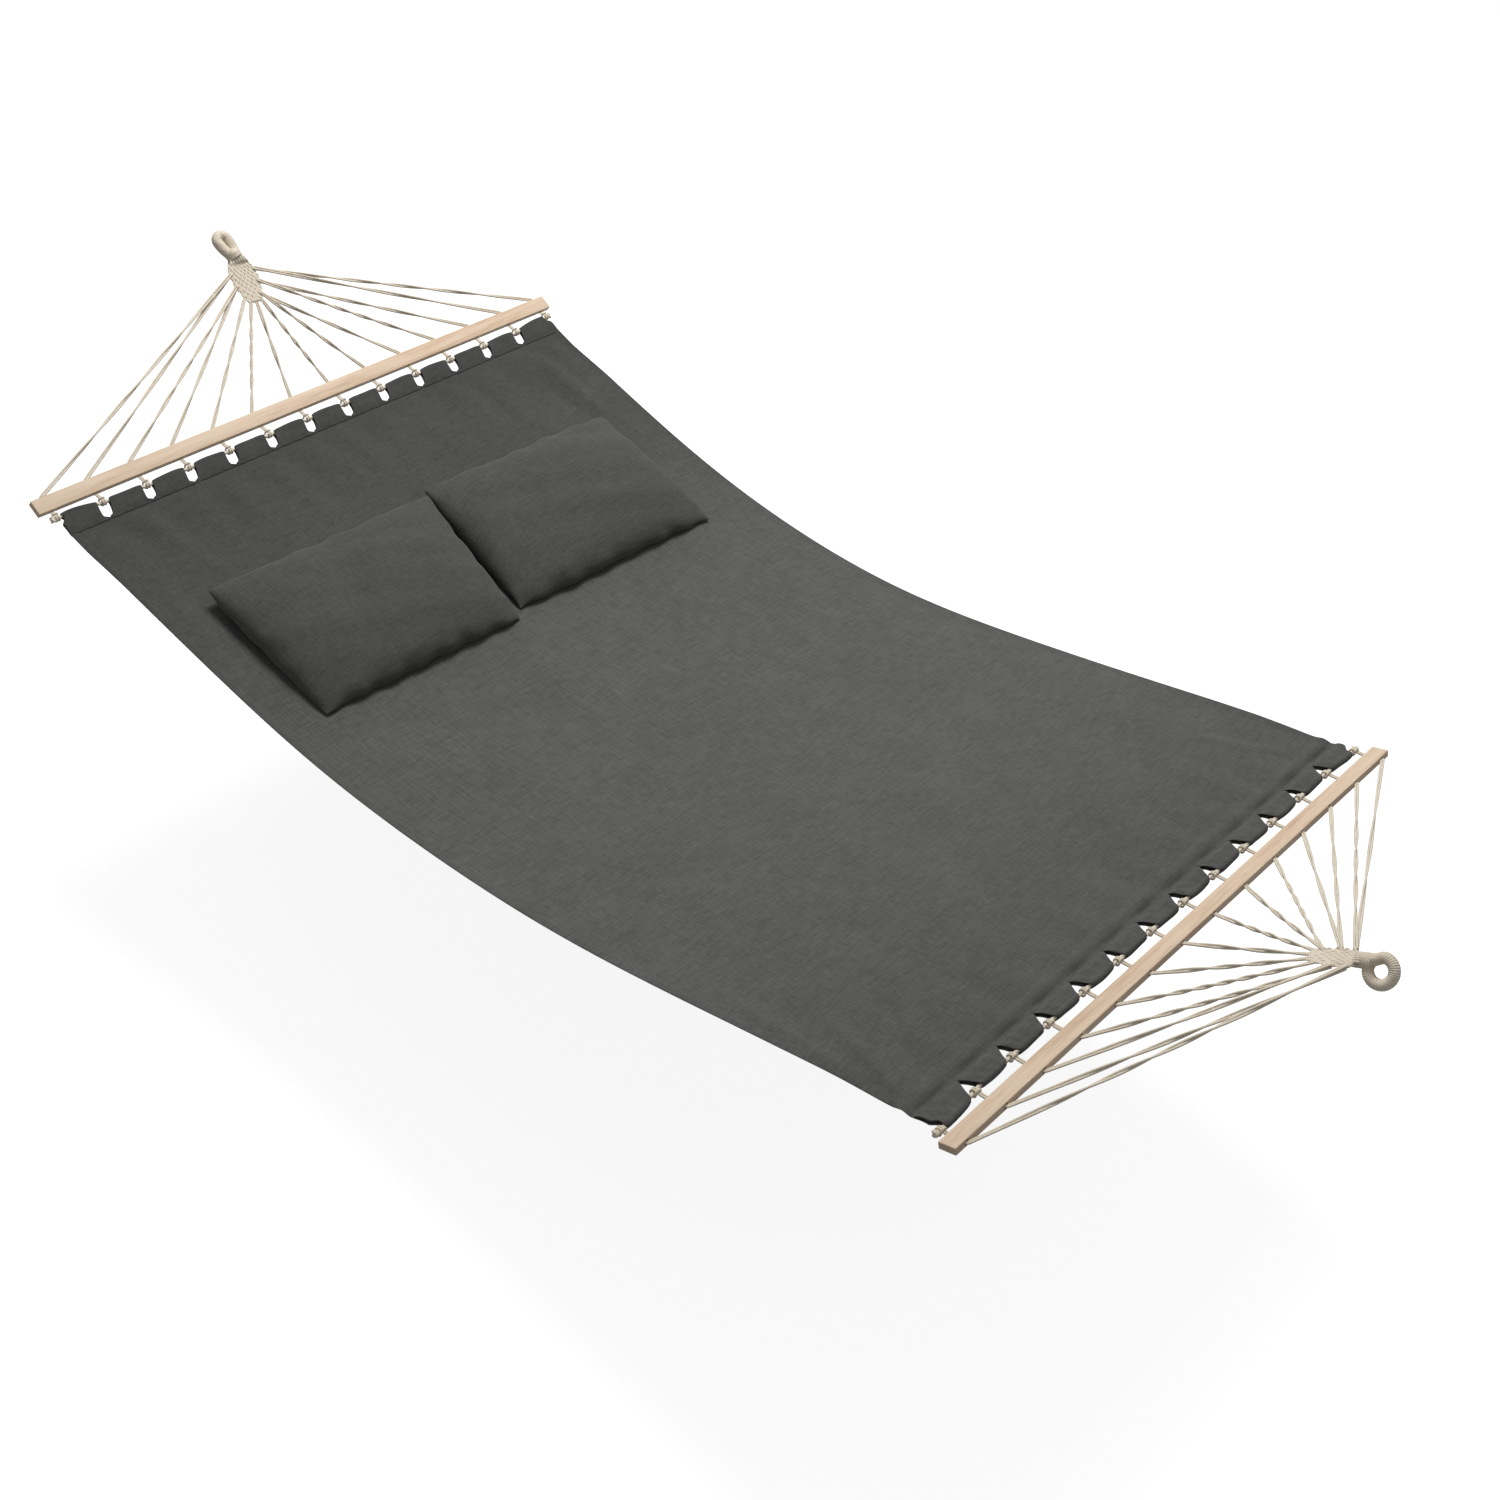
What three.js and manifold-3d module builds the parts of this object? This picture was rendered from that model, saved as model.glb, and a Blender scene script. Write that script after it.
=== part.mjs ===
// Double hammock with two spreader bars, fanned cords, rope eyes and two loose pillows
// Millimetres. X runs from the head end to the foot end, Z is up, and the origin is the
// middle of the straight line between the two necks, about which the hammock swings.
import * as THREE from 'three';
import { mergeVertices } from 'three/addons/utils/BufferGeometryUtils.js';
import Module from 'manifold-3d';

const wasm = await Module();
wasm.setup();

// Driving sizes
const gap = 0.3; // between pieces that touch
const neckSpan = 2920; // from neck to neck, level
const cordCount = 14; // doubled cords at each end
const cordPitch = 110; // between holes along a bar
const cordDiameter = 4.6;
const strandGap = 0.3; // between the two strands of a doubled cord

const barWidth = 35; // along the holes
const barThickness = 15;
const barOverhang = 30; // bar beyond its outer holes
const barEdge = 2.5; // rounding of the long edges
const holeClearance = 0.35; // round the pair of strands
const mouthLead = 3; // straight cord outside each mouth of a hole

const hemRopeDiameter = 8;
const tunnelClearance = 0.35; // between the hem rope and its tunnel
const tunnelWall = 3.6; // doubled cloth round the hem rope
const hemGap = 20; // from the bar to the outer edge of the hem
const hemDepth = 50; // from the outer edge of the hem to its seam
const notchDepth = 44;
const notchMouth = 46; // width of a notch at the hem's outer edge
const notchWaist = 32; // width of a notch half way down
const stopKnotRadius = 7.5;

const bedWidth = 1430; // along each hem
const bedThickness = 2.5;
const bedWaist = 0.0134; // share by which the long sides draw in at the middle
const bedWaistShift = -0.0186; // more towards the head, less towards the foot
const bedSag = 179; // below the line between the hems
const bedSagShift = 38; // takes the deepest place towards the head
const bedSagFlat = 70; // flattens the middle of the sag
const foldHeight = 5; // lengthwise folds behind each hem
const foldReach = 300;
const bedRows = 15;

const crownRadius = 14; // ball at the crown's neck
const crownLength = 118;
const crownHalfWidth = 40;
const crownHalfThickness = 9;

const eyeLength = 70; // from the neck to the far end of the head eye
const eyeRopeRadius = 10.2; // wrapped rope of the head eye
const eyeSlit = 7.5; // between the legs of the head eye
const eyeNeckSpread = 9; // legs from the middle where they enter the collar
const ringRopeRadius = 11.5; // wrapped rope of the foot eye
const ringMeanRadius = 24;
const ringOut = 38; // ring centre beyond the neck
const ringDrop = 16; // ring centre beside the neck's line
const ringTwist = 60; // degrees out of the plane of the cords
const collarRadius = 16;
const collarLength = 17;
const whippingHeight = 3; // thickness of the whipping cord
const whippingGap = 0.7; // between its turns on the inside of the bend
const whippingSteps = 8;
const headWhippingTurns = 15;
const footWhippingTurns = 19;

const pillowWidth = 566;
const pillowHeight = 404;
const pillowThickness = 98;
const pillowSeamHeight = 42; // seam above the bed, half way along a side
const pillowCornerDrop = 26; // corners below the rest of the seam
const pillowDrawIn = 0.055; // share by which each side draws in between the corners
const pillowSeat = 0.4; // gap between a pillow and the bed
const pillowSteps = [14, 10];
const leftPillowIn = 478.4; // pillow centre from the head seam, level
const rightPillowIn = 470.4;
const leftPillowAside = 322; // pillow centre from the middle line
const rightPillowAside = 276;

const rad = THREE.MathUtils.degToRad;
const Y = new THREE.Vector3(0, 1, 0);
const Z = new THREE.Vector3(0, 0, 1);
const cordRadius = cordDiameter / 2;
const strandOffset = cordRadius + strandGap / 2;
const hemRopeRadius = hemRopeDiameter / 2;
const tunnelRadius = hemRopeRadius + tunnelClearance + tunnelWall;
const barLength = cordPitch * (cordCount - 1) + 2 * barOverhang;
const cordSpan = cordPitch * (cordCount - 1);
const cordY = (i) => cordPitch * (i - (cordCount - 1) / 2);

// Each end: side is -1 at the head and 1 at the foot. Angles are slopes in degrees, measured
// outwards and upwards, of the fan of cords, of the bar and of the cloth at its hem.
// The crown and the eye lean sideways by so many degrees, and the crown is shorter by so many mm.
const head = {
  name: 'head', side: -1, fanLength: 338, fanAngle: 40.2, barAngle: 29, hemAngle: 20,
  crownLean: 5, eyeLean: 10, shorter: 5,
};
const foot = {
  name: 'foot', side: 1, fanLength: 316.5, fanAngle: 26.3, barAngle: 19, hemAngle: 14,
  crownLean: 10, eyeLean: 0, shorter: 20,
};

// Where each cord leaves the crown: along the crown from the neck, across it, and off its plane
const crownExits = [
  [46, -33, 2.8], [46, -33, -2.8], [75, -31, 2.8], [75, -31, -2.8], [100, -20, 0], [111, -9.5, 0], [112, 3.5, 0],
  [110, 16.5, 0], [101, 22, 2.8], [101, 22, -2.8], [73, 31, 2.8], [73, 31, -2.8], [43, 33, 2.8], [43, 33, -2.8],
];

const slope = (side, degrees) => new THREE.Vector3(side * Math.cos(rad(degrees)), 0, Math.sin(rad(degrees)));
const along = (point, direction, distance) => point.clone().addScaledVector(direction, distance);

for (const end of [head, foot]) {
  end.out = slope(end.side, end.fanAngle);
  end.barOut = slope(end.side, end.barAngle);
  end.hemOut = slope(end.side, end.hemAngle);
  end.fanUp = slope(-end.side, 90 - end.fanAngle);
  end.barUp = slope(-end.side, 90 - end.barAngle);
  end.hemUp = slope(-end.side, 90 - end.hemAngle);
  end.neck = new THREE.Vector3((end.side * neckSpan) / 2, 0, 0);
  end.mouth = along(end.neck, end.out, -end.fanLength);
  end.barInner = along(end.mouth, end.barOut, -barWidth);
  end.rope = along(end.barInner, end.hemOut, -hemGap - tunnelRadius);
  end.seam = along(end.barInner, end.hemOut, -hemGap - hemDepth);
  // ways of the crown, in from the neck and across, and of the eye, out from the neck and across
  const turned = (lean, way) => way.clone().applyAxisAngle(end.fanUp, rad(end.side * lean));
  end.crownIn = turned(end.crownLean, end.out).negate();
  end.crownAcross = turned(end.crownLean, Y);
  end.eyeOut = turned(-end.eyeLean, end.out);
  end.eyeAcross = turned(-end.eyeLean, Y);
}

// Stations along a crown are drawn for the longest one and move up on a shorter one
const crownAt = (end, u) => (u < 10 ? u : Math.max(u - end.shorter, 10 + (u - 10) * 0.45));

// Solids
function toManifold(geometry) {
  let bare = geometry.index ? geometry.toNonIndexed() : geometry.clone();
  bare.deleteAttribute('normal');
  bare.deleteAttribute('uv');
  bare = mergeVertices(bare, 1e-4);
  const vertProperties = Float32Array.from(bare.getAttribute('position').array);
  const triVerts = Uint32Array.from(bare.getIndex().array);
  return new wasm.Manifold(new wasm.Mesh({ numProp: 3, vertProperties, triVerts }));
}

function fromManifold(solid) {
  const mesh = solid.getMesh();
  const geometry = new THREE.BufferGeometry();
  geometry.setAttribute('position', new THREE.BufferAttribute(Float32Array.from(mesh.vertProperties), 3));
  geometry.setIndex(Array.from(mesh.triVerts));
  const flat = geometry.toNonIndexed();
  flat.computeVertexNormals();
  return flat;
}

// A closed skin over rows of points: every row is a loop with as many points, joined to the next
// row, and the first and last rows are capped by a fan
function loft(rows, turned = false) {
  const count = rows[0].length;
  const points = rows.flat();
  const index = [];
  const add = (a, b, c) => index.push(...(turned ? [a, c, b] : [a, b, c]));
  for (let r = 0; r + 1 < rows.length; r++) {
    for (let i = 0; i < count; i++) {
      const j = (i + 1) % count;
      const a = r * count + i;
      const b = r * count + j;
      add(a, b, b + count);
      add(a, b + count, a + count);
    }
  }
  const last = (rows.length - 1) * count;
  for (let i = 1; i + 1 < count; i++) {
    add(0, i + 1, i);
    add(last, last + i, last + i + 1);
  }
  const geometry = new THREE.BufferGeometry();
  geometry.setFromPoints(points);
  geometry.setIndex(index);
  return geometry;
}

// A route whose points are its own steps, so that straight stretches take one step
class Route extends THREE.Curve {
  constructor(points) {
    super();
    this.points = points;
  }
  getPoint(t) {
    const last = this.points.length - 1;
    const i = Math.min(Math.round(t * last), last);
    return this.points[i].clone();
  }
  getPointAt(t) {
    return this.getPoint(t);
  }
  getTangentAt(t) {
    const last = this.points.length - 1;
    const i = Math.min(Math.round(t * last), last);
    const before = this.points[Math.max(i - 1, 0)];
    const here = this.points[i];
    const after = this.points[Math.min(i + 1, last)];
    const into = here.clone().sub(before).normalize();
    const onward = after.clone().sub(here).normalize();
    return into.add(onward).normalize();
  }
}

function tube(points, radius, sides) {
  const section = new THREE.Shape();
  for (let i = 0; i < sides; i++) {
    const turn = (2 * Math.PI * i) / sides;
    const x = radius * Math.cos(turn);
    const y = radius * Math.sin(turn);
    if (i === 0) section.moveTo(x, y);
    else section.lineTo(x, y);
  }
  section.closePath();
  const steps = points.length - 1;
  return new THREE.ExtrudeGeometry(section, { steps, bevelEnabled: false, extrudePath: new Route(points) });
}

// Places a shape drawn in two of an end's ways so that its depth runs along the third
function stand(geometry, xWay, yWay, origin) {
  const depthWay = new THREE.Vector3().crossVectors(xWay, yWay);
  return geometry.applyMatrix4(new THREE.Matrix4().makeBasis(xWay, yWay, depthWay).setPosition(origin));
}

function outline(corners) {
  const shape = new THREE.Shape();
  corners.forEach(([x, y], i) => (i === 0 ? shape.moveTo(x, y) : shape.lineTo(x, y)));
  shape.closePath();
  return shape;
}

const octagon = (across) => {
  const corners = [];
  for (let k = 0; k < 8; k++) {
    const turn = (Math.PI * (k + 0.5)) / 4;
    corners.push([(across * Math.cos(turn)) / Math.cos(Math.PI / 8), (across * Math.sin(turn)) / Math.cos(Math.PI / 8)]);
  }
  return corners;
};

// Spreader bar: a flat board with eased edges, its holes through its width
function spreaderBar(end) {
  const t = barThickness / 2;
  const board = outline([
    [barEdge, -t], [barWidth - barEdge, -t], [barWidth, -t + barEdge], [barWidth, t - barEdge],
    [barWidth - barEdge, t], [barEdge, t], [0, t - barEdge], [0, -t + barEdge],
  ]);
  const plain = new THREE.ExtrudeGeometry(board, { depth: barLength, bevelEnabled: false });
  plain.translate(0, 0, -barLength / 2);
  let bar = toManifold(stand(plain, end.barOut, end.barUp, end.barInner));
  const hole = outline(octagon(strandOffset + cordRadius + holeClearance));
  for (let i = 0; i < cordCount; i++) {
    const drill = new THREE.ExtrudeGeometry(hole, { depth: barWidth + 4, bevelEnabled: false });
    drill.translate(0, 0, -2);
    const across = new THREE.Vector3().crossVectors(end.barOut, Y);
    const place = along(end.barInner, Y, cordY(i));
    bar = bar.subtract(toManifold(stand(drill, Y, across, place)));
  }
  return fromManifold(bar);
}

// Crown: a flat woven shield with a ball at its neck. grow adds to it all round.
function crownSolid(end, grow) {
  const stations = [
    [-crownRadius, 1.5, 1.5],
    [-0.866 * crownRadius, crownRadius / 2, crownRadius / 2],
    [-0.5 * crownRadius, 0.866 * crownRadius, 0.866 * crownRadius],
    [0, crownRadius, crownRadius],
    [14, 18.5, 12.5],
    [30, 31, 10],
    [43, crownHalfWidth, crownHalfThickness],
    [72, crownHalfWidth - 3, crownHalfThickness],
    [98, 26, crownHalfThickness],
    [crownLength - 4, 20, crownHalfThickness - 1],
    [crownLength, 17, crownHalfThickness - 4],
  ];
  const sides = 12;
  const rows = stations.map(([u, halfWidth, halfThickness], r) => {
    const shift = r === 0 ? -grow : r === stations.length - 1 ? grow : 0;
    const centre = along(end.neck, end.crownIn, crownAt(end, u) + shift);
    const ring = [];
    for (let i = 0; i < sides; i++) {
      const turn = (2 * Math.PI * (i + 0.5)) / sides;
      const across = along(centre, end.crownAcross, (halfWidth + grow) * Math.cos(turn));
      ring.push(across.addScaledVector(end.fanUp, (halfThickness + grow) * Math.sin(turn)));
    }
    return ring;
  });
  return toManifold(loft(rows, end.side > 0));
}

// Doubled cord: from the crown, through its hole, round the hem rope and back beside itself
function cordRoute(end, i) {
  const [u, v, w] = crownExits[i];
  const y = cordY(i);
  const start = along(along(along(end.neck, end.crownIn, crownAt(end, u)), end.crownAcross, v), end.fanUp, w);
  const outer = along(along(end.mouth, end.barOut, mouthLead), Y, y);
  const inner = along(along(end.barInner, end.barOut, -mouthLead), Y, y);
  const rope = along(end.rope, Y, y);
  const fan = outer.clone().sub(start).normalize();
  const hole = inner.clone().sub(outer).normalize();
  const bend = fan.clone().add(hole).normalize();
  const square = (t) => Y.clone().addScaledVector(t, -Y.dot(t)).normalize();
  const mitre = 1 / bend.dot(hole);
  // the loop's corners stand clear of the rope although its steps are straight
  const loopRadius = (hemRopeRadius + gap + cordRadius) / Math.cos(Math.PI / 8);
  const middle = inner.clone().lerp(rope, 0.45);
  const side = (s) => [
    along(start, square(fan), s * strandOffset),
    along(outer, square(bend), s * strandOffset * mitre),
    along(inner, Y, s * strandOffset),
    along(along(middle, Y, s * strandOffset), end.hemUp, s * strandOffset),
  ];
  const loop = [];
  for (let k = 0; k <= 4; k++) {
    const turn = Math.PI / 2 - (Math.PI * k) / 4;
    loop.push(along(along(rope, end.hemOut, -loopRadius * Math.cos(turn)), end.hemUp, loopRadius * Math.sin(turn)));
  }
  return [...side(1), ...loop, ...side(-1).reverse()];
}

function cord(end, i) {
  const whole = toManifold(tube(cordRoute(end, i), cordRadius, 6));
  return fromManifold(whole.subtract(crownSolid(end, gap)));
}

// Hem rope: one rope through the tunnel with a stop knot outside each outer cord
function hemRope(end) {
  const reach = cordSpan / 2 + cordRadius + gap;
  const from = along(end.rope, Y, -reach - stopKnotRadius);
  const to = along(end.rope, Y, reach + stopKnotRadius);
  let rope = toManifold(tube([from, to], hemRopeRadius, 6));
  for (const s of [-1, 1]) {
    const knot = new THREE.SphereGeometry(stopKnotRadius, 8, 6);
    const place = along(end.rope, Y, s * (reach + stopKnotRadius));
    knot.translate(place.x, place.y, place.z);
    rope = rope.add(toManifold(knot));
  }
  return fromManifold(rope);
}

// Hem: the cloth's end folded round the hem rope and cut into loops by a notch at each cord
function hem(end) {
  const half = bedThickness / 2;
  const inward = end.hemOut.clone().negate();
  // x runs inwards from the rope's middle, y up
  const seam = hemDepth - tunnelRadius;
  const corners = [[seam, -half], [seam, half], [tunnelRadius * 1.5, half + 0.8]];
  for (let k = 0; k <= 6; k++) {
    const turn = rad(60 + 40 * k);
    corners.push([tunnelRadius * Math.cos(turn), tunnelRadius * Math.sin(turn)]);
  }
  corners.push([tunnelRadius * 1.5, -half - 0.8]);
  const strip = new THREE.ExtrudeGeometry(outline(corners), { depth: bedWidth, bevelEnabled: false });
  strip.translate(0, 0, -bedWidth / 2);
  const bore = new THREE.ExtrudeGeometry(outline(octagon(hemRopeRadius + tunnelClearance)), {
    depth: bedWidth + 4,
    bevelEnabled: false,
  });
  bore.translate(0, 0, -bedWidth / 2 - 2);
  let solid = toManifold(stand(strip, inward, end.hemUp, end.rope));
  solid = solid.subtract(toManifold(stand(bore, inward, end.hemUp, end.rope)));
  const edge = -tunnelRadius;
  const side = [[-2, 0.5 * notchMouth], [0.5 * notchDepth, 0.5 * notchWaist], [0.85 * notchDepth, 0.34 * notchWaist]];
  const notch = outline([
    ...side.map(([x, y]) => [edge + x, -y]),
    [edge + notchDepth, -2],
    [edge + notchDepth, 2],
    ...side.reverse().map(([x, y]) => [edge + x, y]),
  ]);
  const across = new THREE.Vector3().crossVectors(end.hemUp, inward);
  for (let i = 0; i < cordCount; i++) {
    const cutter = new THREE.ExtrudeGeometry(notch, { depth: 4 * tunnelRadius, bevelEnabled: false });
    cutter.translate(0, 0, -2 * tunnelRadius);
    solid = solid.subtract(toManifold(stand(cutter, inward, across, along(end.rope, Y, cordY(i)))));
  }
  return fromManifold(solid);
}

// Bed: a sagging sheet between the two seams, drawn in along its sides, with soft lengthwise folds
function bedLine(t) {
  // the middle line: t runs from -1 at the head seam to 1 at the foot seam
  const x = THREE.MathUtils.lerp(head.seam.x, foot.seam.x, (t + 1) / 2);
  const line = THREE.MathUtils.lerp(head.seam.z, foot.seam.z, (t + 1) / 2);
  const sag = (1 - t * t) * (-bedSag + bedSagShift * t + bedSagFlat * t * t);
  return new THREE.Vector3(x, 0, line + sag);
}

const bedHalfWidth = (t) => (bedWidth / 2) * (1 - (bedWaist + bedWaistShift * t) * (1 - t * t));
const bedRowAt = (r) => -1 + (2 * r) / bedRows;

function bedFold(t, column) {
  const length = foot.seam.x - head.seam.x;
  const fromSeam = ((1 - Math.abs(t)) * length) / 2;
  const fade = Math.max(0, 1 - fromSeam / foldReach) * Math.min(1, fromSeam / (foldReach / 4));
  return (column % 2 === 0 ? -1 : 1) * fade * foldHeight;
}

function bed() {
  const columns = 2 * cordCount - 2;
  const rows = [];
  for (let r = 0; r <= bedRows; r++) {
    const t = bedRowAt(r);
    const seamEnd = r === 0 ? head : r === bedRows ? foot : null;
    const thick = seamEnd ? seamEnd.hemUp : Z;
    const middle = seamEnd ? along(bedLine(t), seamEnd.hemOut, -gap) : bedLine(t);
    const top = [];
    const bottom = [];
    for (let c = 0; c <= columns; c++) {
      const y = bedHalfWidth(t) * (-1 + (2 * c) / columns);
      const place = new THREE.Vector3(middle.x, y, middle.z + bedFold(t, c));
      top.push(along(place, thick, bedThickness / 2));
      bottom.push(along(place, thick, -bedThickness / 2));
    }
    rows.push([...bottom, ...top.reverse()]);
  }
  return bedSkin(rows);
}

// The sheet's skin: its rows are flat loops, so each end is closed by quads across the thickness
function bedSkin(rows) {
  const count = rows[0].length;
  const index = [];
  for (let r = 0; r + 1 < rows.length; r++) {
    for (let i = 0; i < count; i++) {
      const j = (i + 1) % count;
      const a = r * count + i;
      const b = r * count + j;
      index.push(a, b, b + count, a, b + count, a + count);
    }
  }
  const last = (rows.length - 1) * count;
  for (let i = 0; i + 1 < count / 2; i++) {
    const across = count - 1 - i;
    index.push(i, across, i + 1, i + 1, across, across - 1);
    index.push(last + i, last + i + 1, last + across, last + i + 1, last + across - 1, last + across);
  }
  const geometry = new THREE.BufferGeometry();
  geometry.setFromPoints(rows.flat());
  geometry.setIndex(index);
  return geometry;
}

// Height of the faceted sheet's top above a place in plan, where there are no folds
function bedTop(x) {
  const length = foot.seam.x - head.seam.x;
  const row = THREE.MathUtils.clamp(((x - head.seam.x) / length) * bedRows, 0, bedRows - 1e-6);
  const low = Math.floor(row);
  const a = bedLine(bedRowAt(low)).z;
  const b = bedLine(bedRowAt(low + 1)).z;
  return THREE.MathUtils.lerp(a, b, row - low) + bedThickness / 2;
}

// Pillow: crowned above and below its seam, sides drawn in between the corners, resting on the bed
function pillow(centreX, centreY, turn) {
  const reach = pillowHeight / 8;
  const tilt = new THREE.Vector3(2 * reach, 0, bedTop(centreX + reach) - bedTop(centreX - reach)).normalize();
  const lift = new THREE.Vector3().crossVectors(tilt, Y);
  const [nu, nv] = pillowSteps;
  const place = (a, b, height) => {
    const u = (a * pillowHeight * (1 - pillowDrawIn * (1 - b * b) * a * a)) / 2;
    const v = (b * pillowWidth * (1 - pillowDrawIn * (1 - a * a) * b * b)) / 2;
    const x = u * Math.cos(turn) - v * Math.sin(turn);
    const y = u * Math.sin(turn) + v * Math.cos(turn);
    const ground = new THREE.Vector3(centreX + x * tilt.x, centreY + y, 0);
    ground.z = bedTop(ground.x) + pillowSeat;
    return along(ground, lift, Math.max(0, height));
  };
  const plump = (a, b) => Math.pow((1 - a ** 4) * (1 - b ** 4), 0.5);
  const seam = (a, b) => pillowSeamHeight - pillowCornerDrop * a * a * b * b;
  const above = (a, b) => seam(a, b) + (pillowThickness - seam(a, b)) * plump(a, b) ** 0.8;
  const below = (a, b) => seam(a, b) * (1 - Math.min(1, 1.15 * plump(a, b)));
  const sheet = (height) => {
    const points = [];
    for (let i = 0; i <= nv; i++) {
      for (let j = 0; j <= nu; j++) {
        const a = Math.sin((Math.PI / 2) * (-1 + (2 * i) / nv));
        const b = Math.sin((Math.PI / 2) * (-1 + (2 * j) / nu));
        points.push(place(a, b, height(a, b)));
      }
    }
    return points;
  };
  const points = [...sheet(above), ...sheet(below)];
  const index = [];
  const row = nu + 1;
  const under = (nv + 1) * row;
  for (let i = 0; i < nv; i++) {
    for (let j = 0; j < nu; j++) {
      const a = i * row + j;
      index.push(a, a + row, a + row + 1, a, a + row + 1, a + 1);
      index.push(under + a, under + a + row + 1, under + a + row, under + a, under + a + 1, under + a + row + 1);
    }
  }
  const geometry = new THREE.BufferGeometry();
  geometry.setFromPoints(points);
  geometry.setIndex(index);
  return fromManifold(toManifold(geometry));
}

// Eyes: the collar is a cup round the ball of the crown's neck
function collar(end) {
  const profile = [
    new THREE.Vector2(0, collarLength + 8),
    new THREE.Vector2(collarRadius * 0.75, collarLength + 6),
    new THREE.Vector2(collarRadius, collarLength),
    new THREE.Vector2(collarRadius, 7),
    new THREE.Vector2(0, 7),
  ];
  const body = new THREE.LatheGeometry(profile.reverse(), 16);
  const turned = new THREE.Quaternion().setFromUnitVectors(Y, end.eyeOut);
  body.applyQuaternion(turned);
  body.translate(end.neck.x, end.neck.y, end.neck.z);
  return toManifold(body);
}

function neckBall(end) {
  // enlarged so that its flats, too, stand clear of the crown's ball
  const clear = Math.cos(Math.PI / 20) * Math.cos(Math.PI / 28);
  const ball = new THREE.SphereGeometry((crownRadius + gap) / clear, 20, 14);
  ball.translate(end.neck.x, end.neck.y, end.neck.z);
  return toManifold(ball);
}

// Route of the head eye's rope: up one leg, round the far end and down the other
const loopSpread = eyeRopeRadius + eyeSlit / 2;
const loopCentre = eyeLength - eyeRopeRadius - loopSpread;

function headEyePoint(distance) {
  // distance along the rope from where the first leg leaves the collar
  const leg = loopCentre - collarLength;
  const bow = Math.PI * loopSpread;
  const total = 2 * leg + bow;
  let u;
  let v;
  if (distance < leg) {
    u = collarLength + distance;
    v = -THREE.MathUtils.lerp(eyeNeckSpread, loopSpread, Math.sin((Math.PI / 2) * (distance / leg)));
  } else if (distance < leg + bow) {
    const turn = (distance - leg) / loopSpread;
    u = loopCentre + loopSpread * Math.sin(turn);
    v = -loopSpread * Math.cos(turn);
  } else {
    const back = total - distance;
    u = collarLength + back;
    v = THREE.MathUtils.lerp(eyeNeckSpread, loopSpread, Math.sin((Math.PI / 2) * (back / leg)));
  }
  return { point: along(along(head.neck, head.eyeOut, u), head.eyeAcross, v), total };
}

// Route of the foot eye's ring: angle 0 is outwards along the cords, growing away from the neck's line
const ringNormal = new THREE.Vector3()
  .addScaledVector(foot.fanUp, Math.cos(rad(ringTwist)))
  .addScaledVector(Y, -Math.sin(rad(ringTwist)));
const ringSide = new THREE.Vector3().crossVectors(foot.out, ringNormal).normalize();
if (ringSide.z > 0) ringSide.negate();
const ringCentre = along(along(foot.neck, foot.out, ringOut), ringSide, ringDrop);

function footEyePoint(angle) {
  const spoke = foot.out.clone().multiplyScalar(Math.cos(angle)).addScaledVector(ringSide, Math.sin(angle));
  return along(ringCentre, spoke, ringMeanRadius);
}

// Whipping: one unbroken cord wound round a rope, each turn as wide as the way to its neighbours
// allows. Prints the least gap between one turn and the next, measured on their points.
function whipping(label, pointAt, from, to, normal, bendCentre, turns, reach) {
  const steps = turns * whippingSteps;
  const bend = reach - whippingHeight / 2;
  const small = 1e-3 * (to - from);
  const sides = 5;
  const turnsOf = [];
  for (let k = 0; k <= steps; k++) {
    const place = THREE.MathUtils.lerp(from, to, k / steps);
    const centre = pointAt(place);
    const tangent = pointAt(place + small).sub(pointAt(place - small)).normalize();
    const outward = new THREE.Vector3().crossVectors(tangent, normal).normalize();
    if (outward.dot(centre.clone().sub(bendCentre)) < 0) outward.negate();
    const turn = (2 * Math.PI * k) / whippingSteps;
    const radial = outward.multiplyScalar(Math.cos(turn)).addScaledVector(normal, Math.sin(turn));
    turnsOf.push({ middle: along(centre, radial, bend), tangent, radial });
  }
  const away = (k, n) => (turnsOf[n] ? turnsOf[k].middle.distanceTo(turnsOf[n].middle) : Infinity);
  const rows = turnsOf.map(({ middle, tangent, radial }, k) => {
    const room = Math.min(away(k, k - whippingSteps), away(k, k + whippingSteps));
    const halfWidth = (room - whippingGap) / 2;
    const ring = [];
    for (let i = 0; i < sides; i++) {
      const around = (2 * Math.PI * (i + 0.5)) / sides;
      const point = along(middle, tangent, halfWidth * Math.sin(around));
      ring.push(point.addScaledVector(radial, (-whippingHeight / 2) * Math.cos(around)));
    }
    return ring;
  });
  let least = Infinity;
  rows.forEach((ring, k) => {
    for (let n = k + whippingSteps - 1; n <= k + whippingSteps + 1 && n < rows.length; n++) {
      for (const p of ring) for (const q of rows[n]) least = Math.min(least, p.distanceTo(q));
    }
  });
  console.log(`${label}: least gap between turns ${least.toFixed(2)} mm`);
  return loft(rows);
}

function ropeLoop(points, radius, sides) {
  return toManifold(tube(points, radius, sides));
}

const bindingReach = 1 / Math.cos(Math.PI / whippingSteps); // the turns' corners stand outside their middles
const bareRadius = (reach) => (reach - whippingHeight / 2) / bindingReach - 0.81 * (whippingHeight / 2) - gap;

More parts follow.
